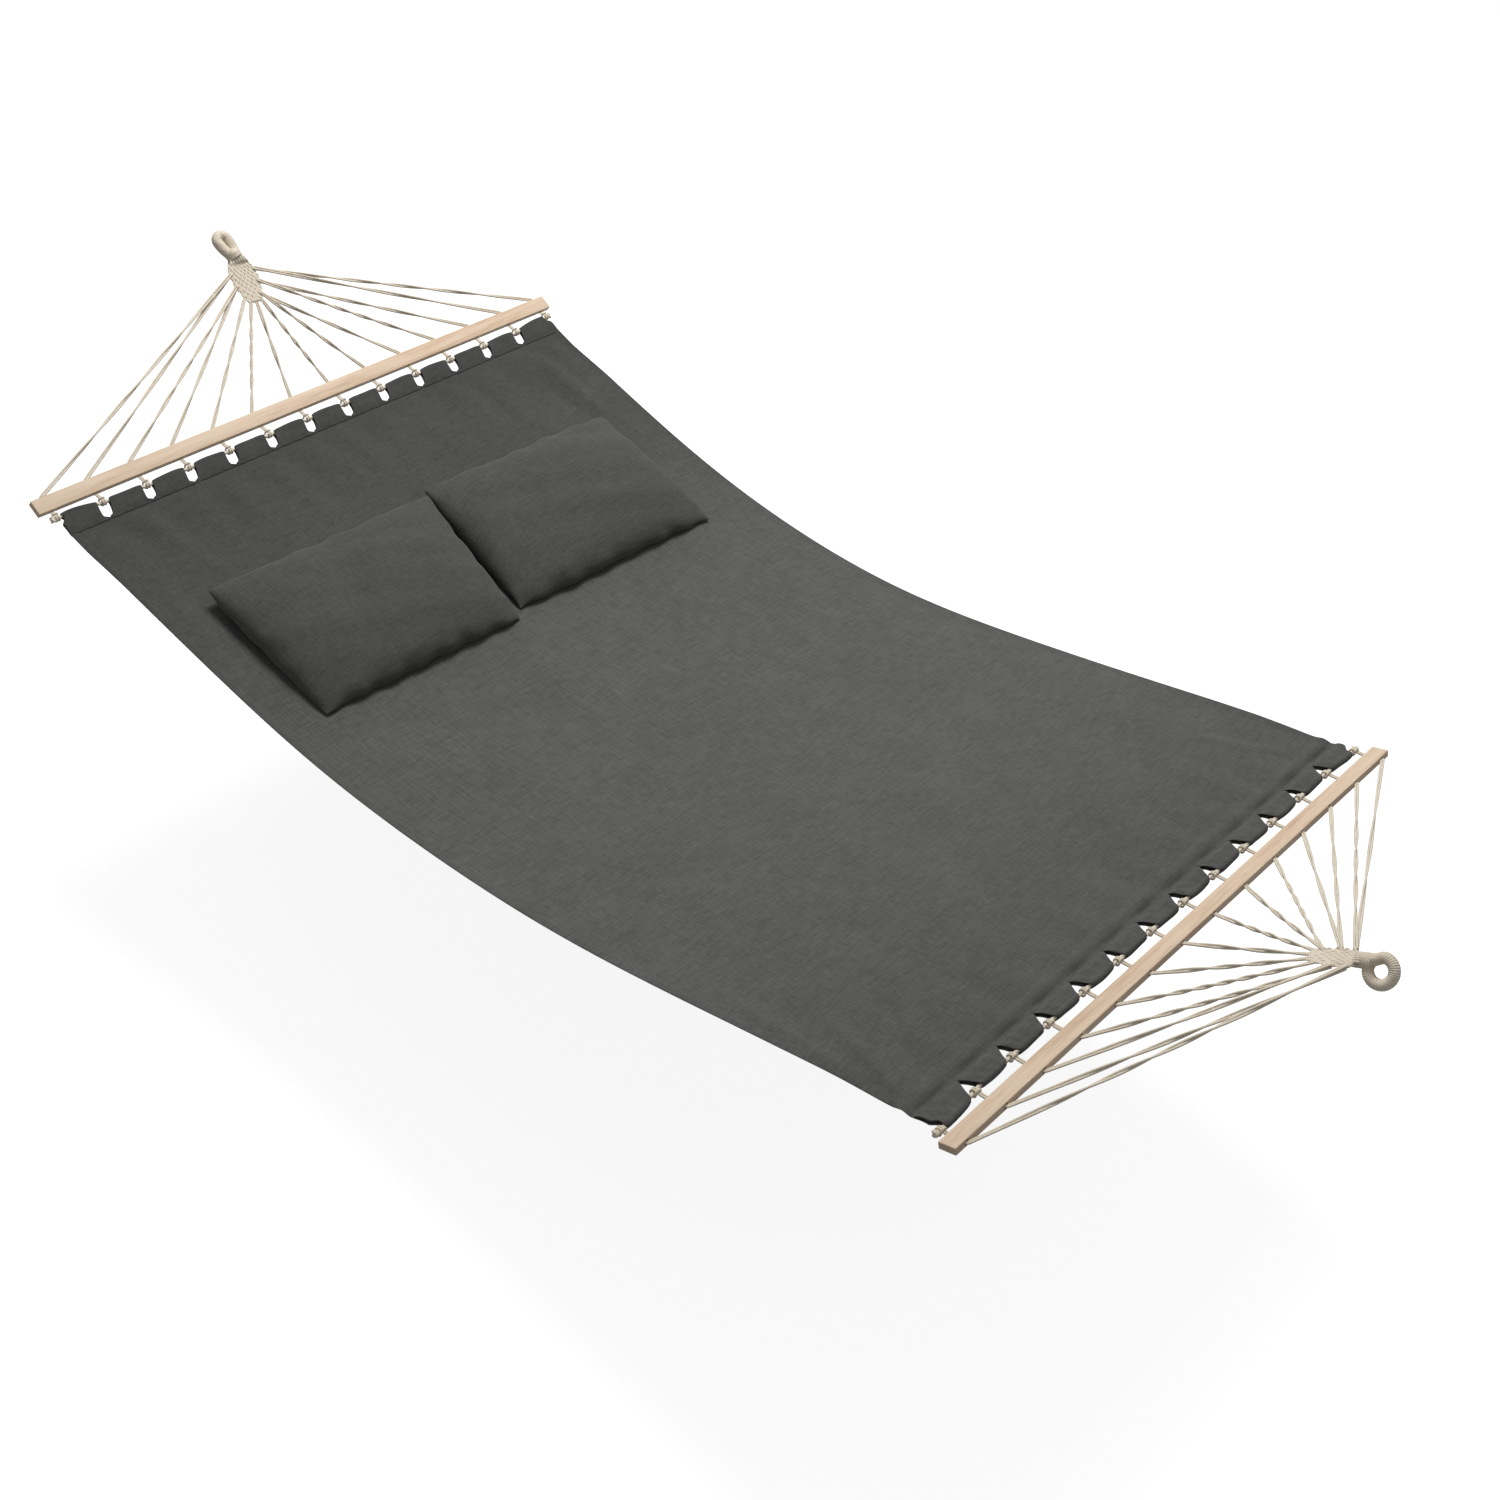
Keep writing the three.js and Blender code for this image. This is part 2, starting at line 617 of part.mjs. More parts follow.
function headEye() {
  const { total } = headEyePoint(0);
  const points = [];
  const steps = 18;
  for (let k = 0; k <= steps; k++) points.push(headEyePoint((total * k) / steps).point);
  const first = along(along(head.neck, head.eyeOut, 8), head.eyeAcross, -eyeNeckSpread + 1);
  const last = along(along(head.neck, head.eyeOut, 8), head.eyeAcross, eyeNeckSpread - 1);
  const loop = ropeLoop([first, ...points, last], bareRadius(eyeRopeRadius), 8);
  return fromManifold(loop.add(collar(head)).subtract(neckBall(head)));
}

function headEyeWhipping() {
  const { total } = headEyePoint(0);
  const centre = along(head.neck, head.eyeOut, loopCentre);
  const pointAt = (d) => headEyePoint(d).point;
  const margin = 9;
  return whipping('head whipping', pointAt, margin, total - margin, head.fanUp, centre, headWhippingTurns, eyeRopeRadius);
}

function footEye() {
  const steps = 20;
  const radius = bareRadius(ringRopeRadius);
  const ring = new THREE.TorusGeometry(ringMeanRadius, radius, 8, steps);
  const frame = new THREE.Matrix4().makeBasis(foot.out, ringSide, new THREE.Vector3().crossVectors(foot.out, ringSide));
  ring.applyMatrix4(frame.setPosition(ringCentre));
  const toNeck = foot.neck.clone().sub(ringCentre).normalize();
  const stub = tube([along(foot.neck, foot.out, 6), along(ringCentre, toNeck, ringMeanRadius)], radius + 2, 8);
  const solid = toManifold(ring).add(toManifold(stub)).add(collar(foot));
  return fromManifold(solid.subtract(neckBall(foot)));
}

function footEyeWhipping() {
  const from = rad(-50);
  const to = rad(175);
  return whipping('foot whipping', footEyePoint, from, to, ringNormal, ringCentre, footWhippingTurns, ringRopeRadius);
}

// Materials
const finish = (color, roughness) => new THREE.MeshStandardMaterial({ color, roughness, metalness: 0 });
const cloth = () => finish('#5b5b59', 0.9);
const pillowCloth = () => finish('#50504e', 0.9);
const cotton = () => finish('#c5b9a5', 0.85);
const wood = () => finish('#d3bda6', 0.55);

// Assembly
const group = new THREE.Group();

function addPiece(name, geometry, material) {
  const mesh = new THREE.Mesh(geometry, material);
  mesh.name = name;
  group.add(mesh);
  return mesh;
}

addPiece('bed_fabric', bed(), cloth());
for (const end of [head, foot]) {
  addPiece(`${end.name}_hem`, hem(end), cloth());
  addPiece(`${end.name}_hem_rope`, hemRope(end), cotton());
  addPiece(`${end.name}_spreader_bar`, spreaderBar(end), wood());
  addPiece(`${end.name}_crown`, fromManifold(crownSolid(end, 0)), cotton());
  for (let i = 0; i < cordCount; i++) {
    const number = String(i + 1).padStart(2, '0');
    addPiece(`${end.name}_cord_${number}`, cord(end, i), cotton());
  }
}
addPiece('head_eye', headEye(), cotton());
addPiece('foot_eye', footEye(), cotton());
addPiece('head_eye_whipping', headEyeWhipping(), cotton());
addPiece('foot_eye_whipping', footEyeWhipping(), cotton());
addPiece('left_pillow', pillow(head.seam.x + leftPillowIn, -leftPillowAside, rad(-1.5)), pillowCloth());
addPiece('right_pillow', pillow(head.seam.x + rightPillowIn, rightPillowAside, rad(-0.6)), pillowCloth());

export default group;
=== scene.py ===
import math
import bpy
import numpy as np
from mathutils import Matrix


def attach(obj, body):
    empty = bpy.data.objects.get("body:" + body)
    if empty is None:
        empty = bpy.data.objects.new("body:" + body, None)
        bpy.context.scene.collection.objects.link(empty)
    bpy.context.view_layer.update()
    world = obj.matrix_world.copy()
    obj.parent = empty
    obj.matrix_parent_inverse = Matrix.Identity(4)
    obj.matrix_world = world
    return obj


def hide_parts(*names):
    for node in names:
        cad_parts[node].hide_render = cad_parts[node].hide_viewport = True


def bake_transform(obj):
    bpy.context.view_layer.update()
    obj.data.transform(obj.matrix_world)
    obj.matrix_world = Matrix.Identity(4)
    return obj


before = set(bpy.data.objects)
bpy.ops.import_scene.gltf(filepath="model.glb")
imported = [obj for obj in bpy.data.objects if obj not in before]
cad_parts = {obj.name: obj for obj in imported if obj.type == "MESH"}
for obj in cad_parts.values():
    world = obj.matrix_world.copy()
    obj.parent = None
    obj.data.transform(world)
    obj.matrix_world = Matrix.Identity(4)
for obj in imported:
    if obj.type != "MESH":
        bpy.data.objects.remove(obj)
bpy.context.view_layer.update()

# Double hammock, dressed in cloth, rope and wood. Metres; X runs from head to foot, Z up.
# The origin lies half way between the necks, where the fan cords gather at each end.

cordCount = 14
cordPitch = 0.110  # from hole to hole along a bar
halfSpan = 1.460  # from the origin to each neck
acrossWay = np.array([0.0, 1.0, 0.0])


def unit(v):
    v = np.asarray(v, float)
    return v / np.linalg.norm(v, axis=-1, keepdims=True)


def slopeWay(side, degrees):  # outwards and upwards
    return np.array([side * math.cos(math.radians(degrees)), 0.0, math.sin(math.radians(degrees))])


def turned(way, axis, degrees):  # a way turned about an axis
    c, s = math.cos(math.radians(degrees)), math.sin(math.radians(degrees))
    return way * c + np.cross(axis, way) * s + axis * np.dot(axis, way) * (1 - c)


def ease(x, low, high):  # smooth step from 0 to 1
    t = np.clip((np.asarray(x, float) - low) / (high - low), 0, 1)
    return t * t * (3 - 2 * t)


# Places of each end: neck, bar, hem rope and seam, as the solids have them
endPlan = {
    "head": {"side": -1, "fanLength": 0.338, "fan": 40.2, "bar": 29, "hem": 20,
             "crownLean": 5, "eyeLean": 10, "shorter": 0.005},
    "foot": {"side": 1, "fanLength": 0.3165, "fan": 26.3, "bar": 19, "hem": 14,
             "crownLean": 10, "eyeLean": 0, "shorter": 0.020},
}  # fan, bar and hem are slopes in degrees; shorter is what the crown loses in length
barWidth, barThickness = 0.035, 0.015
hemGap, hemDepth, tunnelRadius = 0.020, 0.050, 0.00795
for endName, end in endPlan.items():
    side = end["side"]
    end["name"] = endName
    end["out"], end["barOut"], end["hemOut"] = (slopeWay(side, end[k]) for k in ("fan", "bar", "hem"))
    end["fanUp"], end["barUp"], end["hemUp"] = (slopeWay(-side, 90 - end[k]) for k in ("fan", "bar", "hem"))
    end["neck"] = np.array([side * halfSpan, 0.0, 0.0])
    end["mouth"] = end["neck"] - end["out"] * end["fanLength"]
    end["barInner"] = end["mouth"] - end["barOut"] * barWidth
    end["rope"] = end["barInner"] - end["hemOut"] * (hemGap + tunnelRadius)
    end["seam"] = end["barInner"] - end["hemOut"] * (hemGap + hemDepth)
    end["crownIn"] = -turned(end["out"], end["fanUp"], side * end["crownLean"])
    end["crownAcross"] = turned(acrossWay, end["fanUp"], side * end["crownLean"])
    end["eyeOut"] = turned(end["out"], end["fanUp"], -side * end["eyeLean"])
    end["eyeAcross"] = turned(acrossWay, end["fanUp"], -side * end["eyeLean"])
head, foot = endPlan["head"], endPlan["foot"]
cordY = cordPitch * (np.arange(cordCount) - (cordCount - 1) / 2)


# Meshes: each surface is a grid of points, rows x columns x 3, open or closed around
def gridFaces(rows, columns, closedAround, first=0):
    r, c = np.meshgrid(np.arange(rows - 1), np.arange(columns if closedAround else columns - 1), indexing="ij")
    n = (c + 1) % columns
    quads = np.stack([r * columns + c, r * columns + n, (r + 1) * columns + n, (r + 1) * columns + c], -1)
    return quads.reshape(-1, 4) + first


def capFaces(rows, columns, first=0):  # fans over both ends of a tube, to two extra points
    c = np.arange(columns)
    n = (c + 1) % columns
    low, high = first + rows * columns, first + rows * columns + 1
    last = first + (rows - 1) * columns
    start = np.stack([np.full(columns, low), first + n, first + c], -1)
    stop = np.stack([np.full(columns, high), last + c, last + n], -1)
    return start, stop


def meshPiece(name, points, quads, triangles=None, uv=None, material=None):
    mesh = bpy.data.meshes.new(name)
    triangles = np.zeros((0, 3), int) if triangles is None else np.asarray(triangles)
    corners = np.concatenate([np.asarray(quads).reshape(-1), triangles.reshape(-1)]).astype(np.int32)
    starts = np.concatenate([np.arange(len(quads)) * 4, len(quads) * 4 + np.arange(len(triangles)) * 3])
    mesh.vertices.add(len(points))
    mesh.vertices.foreach_set("co", np.asarray(points, np.float32).reshape(-1))
    mesh.loops.add(len(corners))
    mesh.loops.foreach_set("vertex_index", corners)
    mesh.polygons.add(len(starts))
    mesh.polygons.foreach_set("loop_start", starts.astype(np.int32))
    if uv is not None:  # one place on the pattern for each point
        layer = mesh.uv_layers.new(name="surface")
        layer.data.foreach_set("uv", np.asarray(uv, np.float32)[corners].reshape(-1))
    mesh.update(calc_edges=True)
    mesh.validate()
    mesh.shade_smooth()
    piece = bpy.data.objects.new(name, mesh)
    bpy.context.scene.collection.objects.link(piece)
    if material:
        mesh.materials.append(material)
    return piece


# Closed tubes in one mesh. Each is rows of points round a path, with a pattern laid along it: u is how far
# round, folded in the middle so that it has no step, and v the run of the path.
def tubesPiece(name, tubes, material):
    points, uvs, quads, triangles, first = [], [], [], [], 0
    for grid in tubes:
        rows, columns = grid.shape[:2]
        flat = grid.reshape(-1, 3)
        middle = grid.mean(1)
        run = np.concatenate([[0], np.cumsum(np.linalg.norm(np.diff(middle, axis=0), axis=1))])
        around = np.abs(np.linspace(-1, 1, columns, endpoint=False)) * 0.01  # one centimetre of pattern round it
        uv = np.stack(np.broadcast_arrays(around[None, :], run[:, None]), -1).reshape(-1, 2)
        sweeps = np.cross(grid[0] - middle[0], np.roll(grid[0], -1, 0) - middle[0])
        q = gridFaces(rows, columns, True, first)
        low, high = capFaces(rows, columns, first)
        if (sweeps @ (middle[1] - middle[0])).sum() < 0:  # the ring runs the other way round: turn the faces
            q, low, high = q[:, ::-1], low[:, ::-1], high[:, ::-1]
        points += [flat, middle[:1], middle[-1:]]
        uvs += [uv, [[0, run[0]]], [[0, run[-1]]]]
        quads.append(q)
        triangles += [low, high]
        first += rows * columns + 2
    points, quads, triangles, uvs = (np.concatenate(parts) for parts in (points, quads, triangles, uvs))
    return meshPiece(name, points, quads, triangles, uvs, material)


def applyModifiers(piece):
    graph = bpy.context.evaluated_depsgraph_get()
    made = bpy.data.meshes.new_from_object(piece.evaluated_get(graph))
    made.name = piece.name
    old = piece.data
    piece.modifiers.clear()
    piece.data = made
    bpy.data.meshes.remove(old)
    made.shade_smooth()
    return piece


# Paths
def pathLength(path):
    return np.concatenate([[0], np.cumsum(np.linalg.norm(np.diff(path, axis=0), axis=1))])


def evenPath(path, spacing):
    run = pathLength(path)
    steps = max(4, int(round(run[-1] / spacing)))
    at = np.linspace(0, run[-1], steps + 1)
    return np.stack([np.interp(at, run, path[:, k]) for k in range(3)], -1)


# A path of even steps, each corner rounded by a bell-shaped average whose width is softness
def softPath(path, spacing, softness):
    even = evenPath(np.asarray(path, float), spacing)
    reach = int(math.ceil(3 * softness / spacing))
    bell = np.exp(-0.5 * (np.arange(-reach, reach + 1) * spacing / softness) ** 2)
    bell /= bell.sum()
    before = even[0] + (even[0] - even[1]) * np.arange(reach, 0, -1)[:, None]
    after = even[-1] + (even[-1] - even[-2]) * np.arange(1, reach + 1)[:, None]
    long = np.concatenate([before, even, after])
    return np.stack([np.convolve(long[:, k], bell, "valid") for k in range(3)], -1)


# Along each point, and two ways square to the path. Reference is a way that the path never takes; without
# one, the first side way is carried from point to point, turned only as much as the path turns.
def pathWays(path, reference):
    along = unit(np.gradient(path, axis=0))
    if reference is not None:
        sideWay = unit(reference - along * (along @ reference)[:, None])
        return along, sideWay, np.cross(along, sideWay)
    sideWay = np.empty_like(along)
    way = unit(np.cross(along[0], [0.31, 0.17, 0.94]))
    for k, ahead in enumerate(along):
        way = way - ahead * np.dot(ahead, way)
        way = sideWay[k] = way / math.sqrt(np.dot(way, way))
    return along, sideWay, np.cross(along, sideWay)


# Laid rope: r = radius * (1 - groove * (1 - |cos(strands * (angle - 2 pi run / lay) / 2)|))
def ropeTube(path, radius, strands, lay, around, reference, groove=0.16):
    along, sideWay, upWay = pathWays(path, reference)
    run = pathLength(path)
    angle = np.linspace(0, 2 * np.pi, around, endpoint=False)[None, :]
    lobe = np.abs(np.cos(strands * (angle - 2 * np.pi * run[:, None] / lay) / 2))
    r = radius * (1 - groove * (1 - lobe))
    ring = np.cos(angle)[..., None] * sideWay[:, None] + np.sin(angle)[..., None] * upWay[:, None]
    return path[:, None] + r[..., None] * ring


# Finishes
def linear(r, g, b):
    c = np.array([r, g, b]) / 255
    return tuple(np.where(c <= 0.04045, c / 12.92, ((c + 0.055) / 1.055) ** 2.4)) + (1.0,)


def finishNodes(name, roughness, sheen=0.0):
    material = bpy.data.materials.new(name)
    material.use_nodes = True
    tree = material.node_tree
    shader = tree.nodes["Principled BSDF"]
    shader.inputs["Roughness"].default_value = roughness
    shader.inputs["Sheen Weight"].default_value = sheen
    shader.inputs["Sheen Roughness"].default_value = 0.5
    shader.inputs["Specular IOR Level"].default_value = 0.3
    return material, tree, shader


def addNode(tree, kind, **settings):
    made = tree.nodes.new(kind)
    inputs = settings.pop("inputs", {})
    for key, value in settings.items():
        setattr(made, key, value)
    for key, value in inputs.items():
        if isinstance(value, bpy.types.NodeSocket):
            tree.links.new(value, made.inputs[key])
        else:
            made.inputs[key].default_value = value
    return made


def mixColours(tree, share, first, second, blend="MIX"):
    mix = addNode(tree, "ShaderNodeMix", data_type="RGBA", blend_type=blend)
    for socket, value in ((mix.inputs[0], share), (mix.inputs[6], first), (mix.inputs[7], second)):
        if isinstance(value, bpy.types.NodeSocket):
            tree.links.new(value, socket)
        else:
            socket.default_value = value
    return mix.outputs[2]


def calc(tree, operation, first, second=0.0):
    node = addNode(tree, "ShaderNodeMath", operation=operation, inputs={0: first, 1: second})
    return node.outputs[0]


def remap(tree, value, low, high, toLow, toHigh):
    limits = {"Value": value, "From Min": low, "From Max": high, "To Min": toLow, "To Max": toHigh}
    return addNode(tree, "ShaderNodeMapRange", inputs=limits).outputs["Result"]


def noise(tree, place, scale, detail, **more):
    inputs = {"Vector": place, "Scale": scale, "Detail": detail}
    inputs.update({key.capitalize(): value for key, value in more.items()})
    return addNode(tree, "ShaderNodeTexNoise", inputs=inputs).outputs["Fac"]


def bands(tree, place, direction, pitch, distortion, detailScale=1.0):
    inputs = {"Vector": place, "Scale": math.pi / (10 * pitch), "Distortion": distortion,
              "Detail": 1.0, "Detail Scale": detailScale}
    wave = addNode(tree, "ShaderNodeTexWave", wave_type="BANDS", bands_direction=direction, inputs=inputs)
    return wave.outputs["Fac"]


def mapped(tree, place, scale=(1, 1, 1), turn=0.0):  # a pattern's place, stretched and turned
    inputs = {"Vector": place, "Scale": scale, "Rotation": (0, 0, math.radians(turn))}
    return addNode(tree, "ShaderNodeMapping", inputs=inputs).outputs[0]


def weighed(tree, *parts):  # sum of value times weight
    total = 0.0
    for value, weight in parts:
        total = calc(tree, "ADD", calc(tree, "MULTIPLY", value, weight), total)
    return total


def threeTones(tree, look, shade, tone, steps):  # dark at the first step, mid at the second, light at the third
    dark, mid, light = (tuple(c * shade for c in linear(*look[k])[:3]) + (1.0,) for k in ("dark", "mid", "light"))
    shaded = mixColours(tree, remap(tree, tone, steps[0], steps[1], 0.0, 1.0), dark, mid)
    return mixColours(tree, remap(tree, tone, steps[1], steps[2], 0.0, 1.0), shaded, light)


def emboss(tree, shader, height, strength, distance):
    bump = addNode(tree, "ShaderNodeBump", inputs={"Strength": strength, "Distance": distance, "Height": height})
    tree.links.new(bump.outputs[0], shader.inputs["Normal"])


# Colours are as seen, red, green and blue of 255; slubs, mottle and grain are each one's share in the tone; the head
# and foot shares are painted shade that darkens the cloth towards its ends
clothLook = {"mid": (82, 82, 80), "dark": (69, 69, 67), "light": (95, 95, 92), "steps": (0.1, 0.5, 0.95),
             "yarn": 0.0016, "slubLength": 14, "slubs": (0.0, 0.62), "mottle": (0.03, 0.19), "grain": (0.0, 0.16),
             "headPaintedShade": (0.53, 1.0), "footPaintedShade": (1.0, 0.86)}


# Slubby canvas: two sets of yarns seen from above, each with thick places along it, and a faint mottle.
# With painted shade along its length, the cloth is darker towards its head and foot ends than in the middle.
def clothFinish(name, shade=1.0, paintedShadeAlong=False):
    material, tree, shader = finishNodes(name, 0.88, 0.08)
    place = addNode(tree, "ShaderNodeTexCoord").outputs["Object"]
    short = 0.55 / clothLook["yarn"]
    long = short / clothLook["slubLength"]
    slubs = [noise(tree, mapped(tree, place, scale), 1.0, 2.0, roughness=0.6)
             for scale in ((long, short, 0.6 * short), (short, long, 0.6 * short))]
    slub = calc(tree, "ADD", slubs[0], slubs[1])
    weft, warp = (bands(tree, place, way, 2 * clothLook["yarn"], 0.6, 2.0) for way in ("X", "Y"))
    weave = calc(tree, "MULTIPLY", weft, warp)
    mottle = noise(tree, place, 9.0, 4.0, roughness=0.6)
    grain = noise(tree, place, 420.0, 2.0)
    tone = calc(tree, "ADD", remap(tree, slub, 0.75, 1.25, *clothLook["slubs"]),
                remap(tree, mottle, 0.35, 0.65, *clothLook["mottle"]))
    tone = calc(tree, "ADD", tone, remap(tree, grain, 0.3, 0.7, *clothLook["grain"]))
    colour = threeTones(tree, clothLook, shade, tone, clothLook["steps"])
    if paintedShadeAlong:
        # painted shade: the colour is multiplied darker towards the head end and the foot end
        alongX = addNode(tree, "ShaderNodeSeparateXYZ", inputs={0: place}).outputs["X"]
        fade = calc(tree, "MINIMUM", remap(tree, alongX, -1.1, -0.3, *clothLook["headPaintedShade"]),
                    remap(tree, alongX, 0.5, 1.1, *clothLook["footPaintedShade"]))
        colour = mixColours(tree, 1.0, colour, fade, "MULTIPLY")
    tree.links.new(colour, shader.inputs["Base Color"])
    emboss(tree, shader, weighed(tree, (weave, 0.5), (slub, 0.6)), 0.45, 0.0006)
    return material


ropeLook = {"mid": (229, 217, 197), "dark": (198, 184, 162), "light": (243, 234, 219), "steps": (0.25, 0.52, 0.85),
            "slant": 38, "yarns": 0.34, "fibre": 0.36, "stain": 0.4}


# Cotton rope: fine fibres all over, slanting yarns along the strands, and slow stains
def ropeFinish(name, yarnPitch=0.0022, shade=1.0):
    material, tree, shader = finishNodes(name, 0.85, 0.15)
    coordinates = addNode(tree, "ShaderNodeTexCoord").outputs
    place = coordinates["Object"]
    yarns = bands(tree, mapped(tree, coordinates["UV"], turn=ropeLook["slant"]), "Y", yarnPitch, 0.8)
    fibre = noise(tree, place, 900.0, 3.0)
    stain = noise(tree, place, 28.0, 3.0)
    tone = weighed(tree, (yarns, ropeLook["yarns"]), (fibre, ropeLook["fibre"]), (stain, ropeLook["stain"]))
    tree.links.new(threeTones(tree, ropeLook, shade, tone, ropeLook["steps"]), shader.inputs["Base Color"])
    emboss(tree, shader, calc(tree, "ADD", yarns, fibre), 0.5, 0.0005)
    return material


woodLook = {"mid": (214, 190, 164), "dark": (192, 164, 135), "light": (224, 203, 180), "steps": (0.34, 0.5, 0.68),
            "poreShade": 0.84, "roughness": (0.44, 0.62)}


# Pale hardwood: growth lines stretched along the bar (Y), fine pores and a faint broad band
def woodFinish(name, shade=1.0):
    material, tree, shader = finishNodes(name, 0.52)
    place = addNode(tree, "ShaderNodeTexCoord").outputs["Object"]
    growth = mapped(tree, place, (1.0, 0.06, 1.0))
    grain = noise(tree, growth, 260.0, 4.0, roughness=0.65, distortion=0.4)
    broad = noise(tree, growth, 42.0, 2.0, distortion=0.8)
    poreWay = mapped(tree, place, (1.0, 0.10, 1.0))
    pores = addNode(tree, "ShaderNodeTexVoronoi", inputs={"Vector": poreWay, "Scale": 900.0}).outputs["Distance"]
    colour = threeTones(tree, woodLook, 1.0, weighed(tree, (grain, 0.5), (broad, 0.5)), woodLook["steps"])
    fleck = remap(tree, pores, 0.0, 0.22, woodLook["poreShade"] * shade, shade)
    tree.links.new(mixColours(tree, 1.0, colour, fleck, "MULTIPLY"), shader.inputs["Base Color"])
    tree.links.new(remap(tree, grain, 0.3, 0.7, *woodLook["roughness"]), shader.inputs["Roughness"])
    emboss(tree, shader, calc(tree, "ADD", grain, pores), 0.25, 0.0003)
    return material


# the bed cloth carries painted shade along its length
bedCanvas = clothFinish("bedCanvas", 0.97, True)
pillowCanvas = clothFinish("pillowCanvas", 0.66)
cottonRope = ropeFinish("cottonRope")
crownRope = ropeFinish("crownRope", 0.0022, 0.92)
windingCord = ropeFinish("windingCord", 0.0016, 0.97)
paleWood = woodFinish("paleWood")
endGrain = woodFinish("endGrain", 0.74)
# painted shade: a darker copy of the wood for the bar's narrow sides
paintedEdgeShade = woodFinish("paintedEdgeShade", 0.80)
threadGrey = clothFinish("threadGrey", 1.35)


def dress(piece, body, slotName, *nodes):
    if nodes:
        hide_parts(*nodes)
    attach(piece, body)


# Bed cloth
bedPlan = {
    "halfWidth": 0.715, "waist": 0.0134, "waistShift": -0.0186,
    "sag": 0.179, "sagShift": 0.038, "sagFlat": 0.070,
    "thickness": 0.0016, "tuck": 0.006, "rows": 300, "columns": 164, "rowsCloser": 0.80, "columnsCloser": 0.94,
    "sideHem": 0.016, "hemStep": 0.0009, "groove": 0.0006, "farCurl": (0.0028, 0.007), "nearCurl": (-0.0016, 0.004),
    "headFold": 0.0050, "footFold": 0.0035, "foldReach": 0.30,
}


def bedLine(t):  # middle line, t from -1 at the head seam to 1 at the foot seam
    x = head["seam"][0] + (foot["seam"][0] - head["seam"][0]) * (t + 1) / 2
    line = head["seam"][2] + (foot["seam"][2] - head["seam"][2]) * (t + 1) / 2
    return x, line + (1 - t * t) * (-bedPlan["sag"] + bedPlan["sagShift"] * t + bedPlan["sagFlat"] * t * t)


def bedHalf(t):
    return bedPlan["halfWidth"] * (1 - (bedPlan["waist"] + bedPlan["waistShift"] * t) * (1 - t * t))


# A soft fold along the line from start to stop: height * bell(distance / width), fading at both ends
def ridge(x, y, start, stop, width, height):
    start, stop = np.array(start), np.array(stop)
    way = stop - start
    share = ((x - start[0]) * way[0] + (y - start[1]) * way[1]) / (way @ way)
    off = ((x - start[0]) * way[1] - (y - start[1]) * way[0]) / np.linalg.norm(way)
    return height * np.exp(-((off / width) ** 2)) * ease(share, -0.05, 0.3) * (1 - ease(share, 0.7, 1.05))


softFolds = [  # start, stop, width and height of each
    ((-1.09, 0.602), (-0.81, 0.600), 0.024, 0.0115), ((-1.06, 0.556), (-0.86, 0.542), 0.018, -0.0040),
    ((-1.09, 0.40), (-0.86, 0.43), 0.016, 0.0035), ((-1.09, 0.17), (-0.88, 0.20), 0.018, 0.0035),
    ((-1.09, -0.08), (-0.90, -0.05), 0.020, 0.0030), ((-1.10, -0.56), (-0.85, -0.50), 0.018, 0.0035),
    ((-0.95, -0.64), (-0.55, -0.675), 0.016, 0.0030), ((1.06, -0.70), (0.80, -0.60), 0.014, 0.0055),
    ((1.07, -0.66), (0.86, -0.50), 0.012, -0.0040), ((1.05, -0.60), (0.90, -0.40), 0.012, 0.0035),
    ((0.60, -0.66), (0.98, -0.70), 0.016, 0.0040), ((1.06, 0.64), (0.82, 0.56), 0.014, 0.0040),
    ((0.35, -0.45), (0.80, -0.62), 0.040, 0.0035), ((-0.30, -0.35), (0.30, -0.50), 0.050, 0.0030),
]


# Height over the middle line: folds behind each notch, height * fade * cos(2 pi y / pitch + wander), a crease
# and a ridge along the foot seam, a slow drift of three sines, and the soft folds
def bedHeight(x, y):
    fromHead, fromFoot = x - head["seam"][0], foot["seam"][0] - x
    z = 0.0
    for gap, height in ((fromHead, bedPlan["headFold"]), (fromFoot, bedPlan["footFold"])):
        wander = 0.35 * np.sin(9.0 * y + 3 * gap) + 0.25 * np.sin(23.0 * y - 5 * gap)
        reach = bedPlan["foldReach"] * (0.75 + 0.25 * np.sin(31.0 * y + 0.7))
        fade = np.clip(1 - gap / reach, 0, 1) ** 1.3 * ease(gap, 0.0, 0.07)
        z = z - height * fade * np.cos(2 * np.pi * (y + cordY[-1]) / cordPitch + wander * ease(gap, 0.0, 0.2))
    middleOfTab = 0.3 + 0.7 * np.cos(np.pi * y / cordPitch) ** 2
    z = z - 0.0060 * middleOfTab * np.exp(-(((fromFoot - 0.004) / 0.007) ** 2)) * ease(fromFoot, -0.001, 0.004)
    z = z + 0.0030 * np.exp(-(((fromFoot - 0.024) / 0.010) ** 2)) + 0.0002 * np.exp(-((fromHead / 0.012) ** 2))
    calm = ease(fromHead, 0.02, 0.2) * ease(fromFoot, 0.02, 0.2)
    drift = 0.0022 * np.sin(5.1 * x + 7.3 * y + 0.4) + 0.0016 * np.sin(3.2 * x - 13.1 * y + 1.9)
    z = z + calm * (drift + 0.0008 * np.sin(9.7 * x + 24.0 * y))
    for fold in softFolds:
        z = z + ridge(x, y, *fold)
    return z


def bedPoint(t, share):  # t as in bedLine, share from -1 to 1 across
    t, share = np.broadcast_arrays(np.asarray(t, float), np.asarray(share, float))
    x, z = bedLine(t)
    y = bedHalf(t) * share
    return np.stack([x, y, z + bedHeight(x, y)], -1)


def closerSteps(count, closer):  # from -1 to 1, sin(closer c pi / 2), closer together near both ends
    return np.sin(np.linspace(-1, 1, count) * np.pi / 2 * closer) / math.sin(np.pi / 2 * closer)


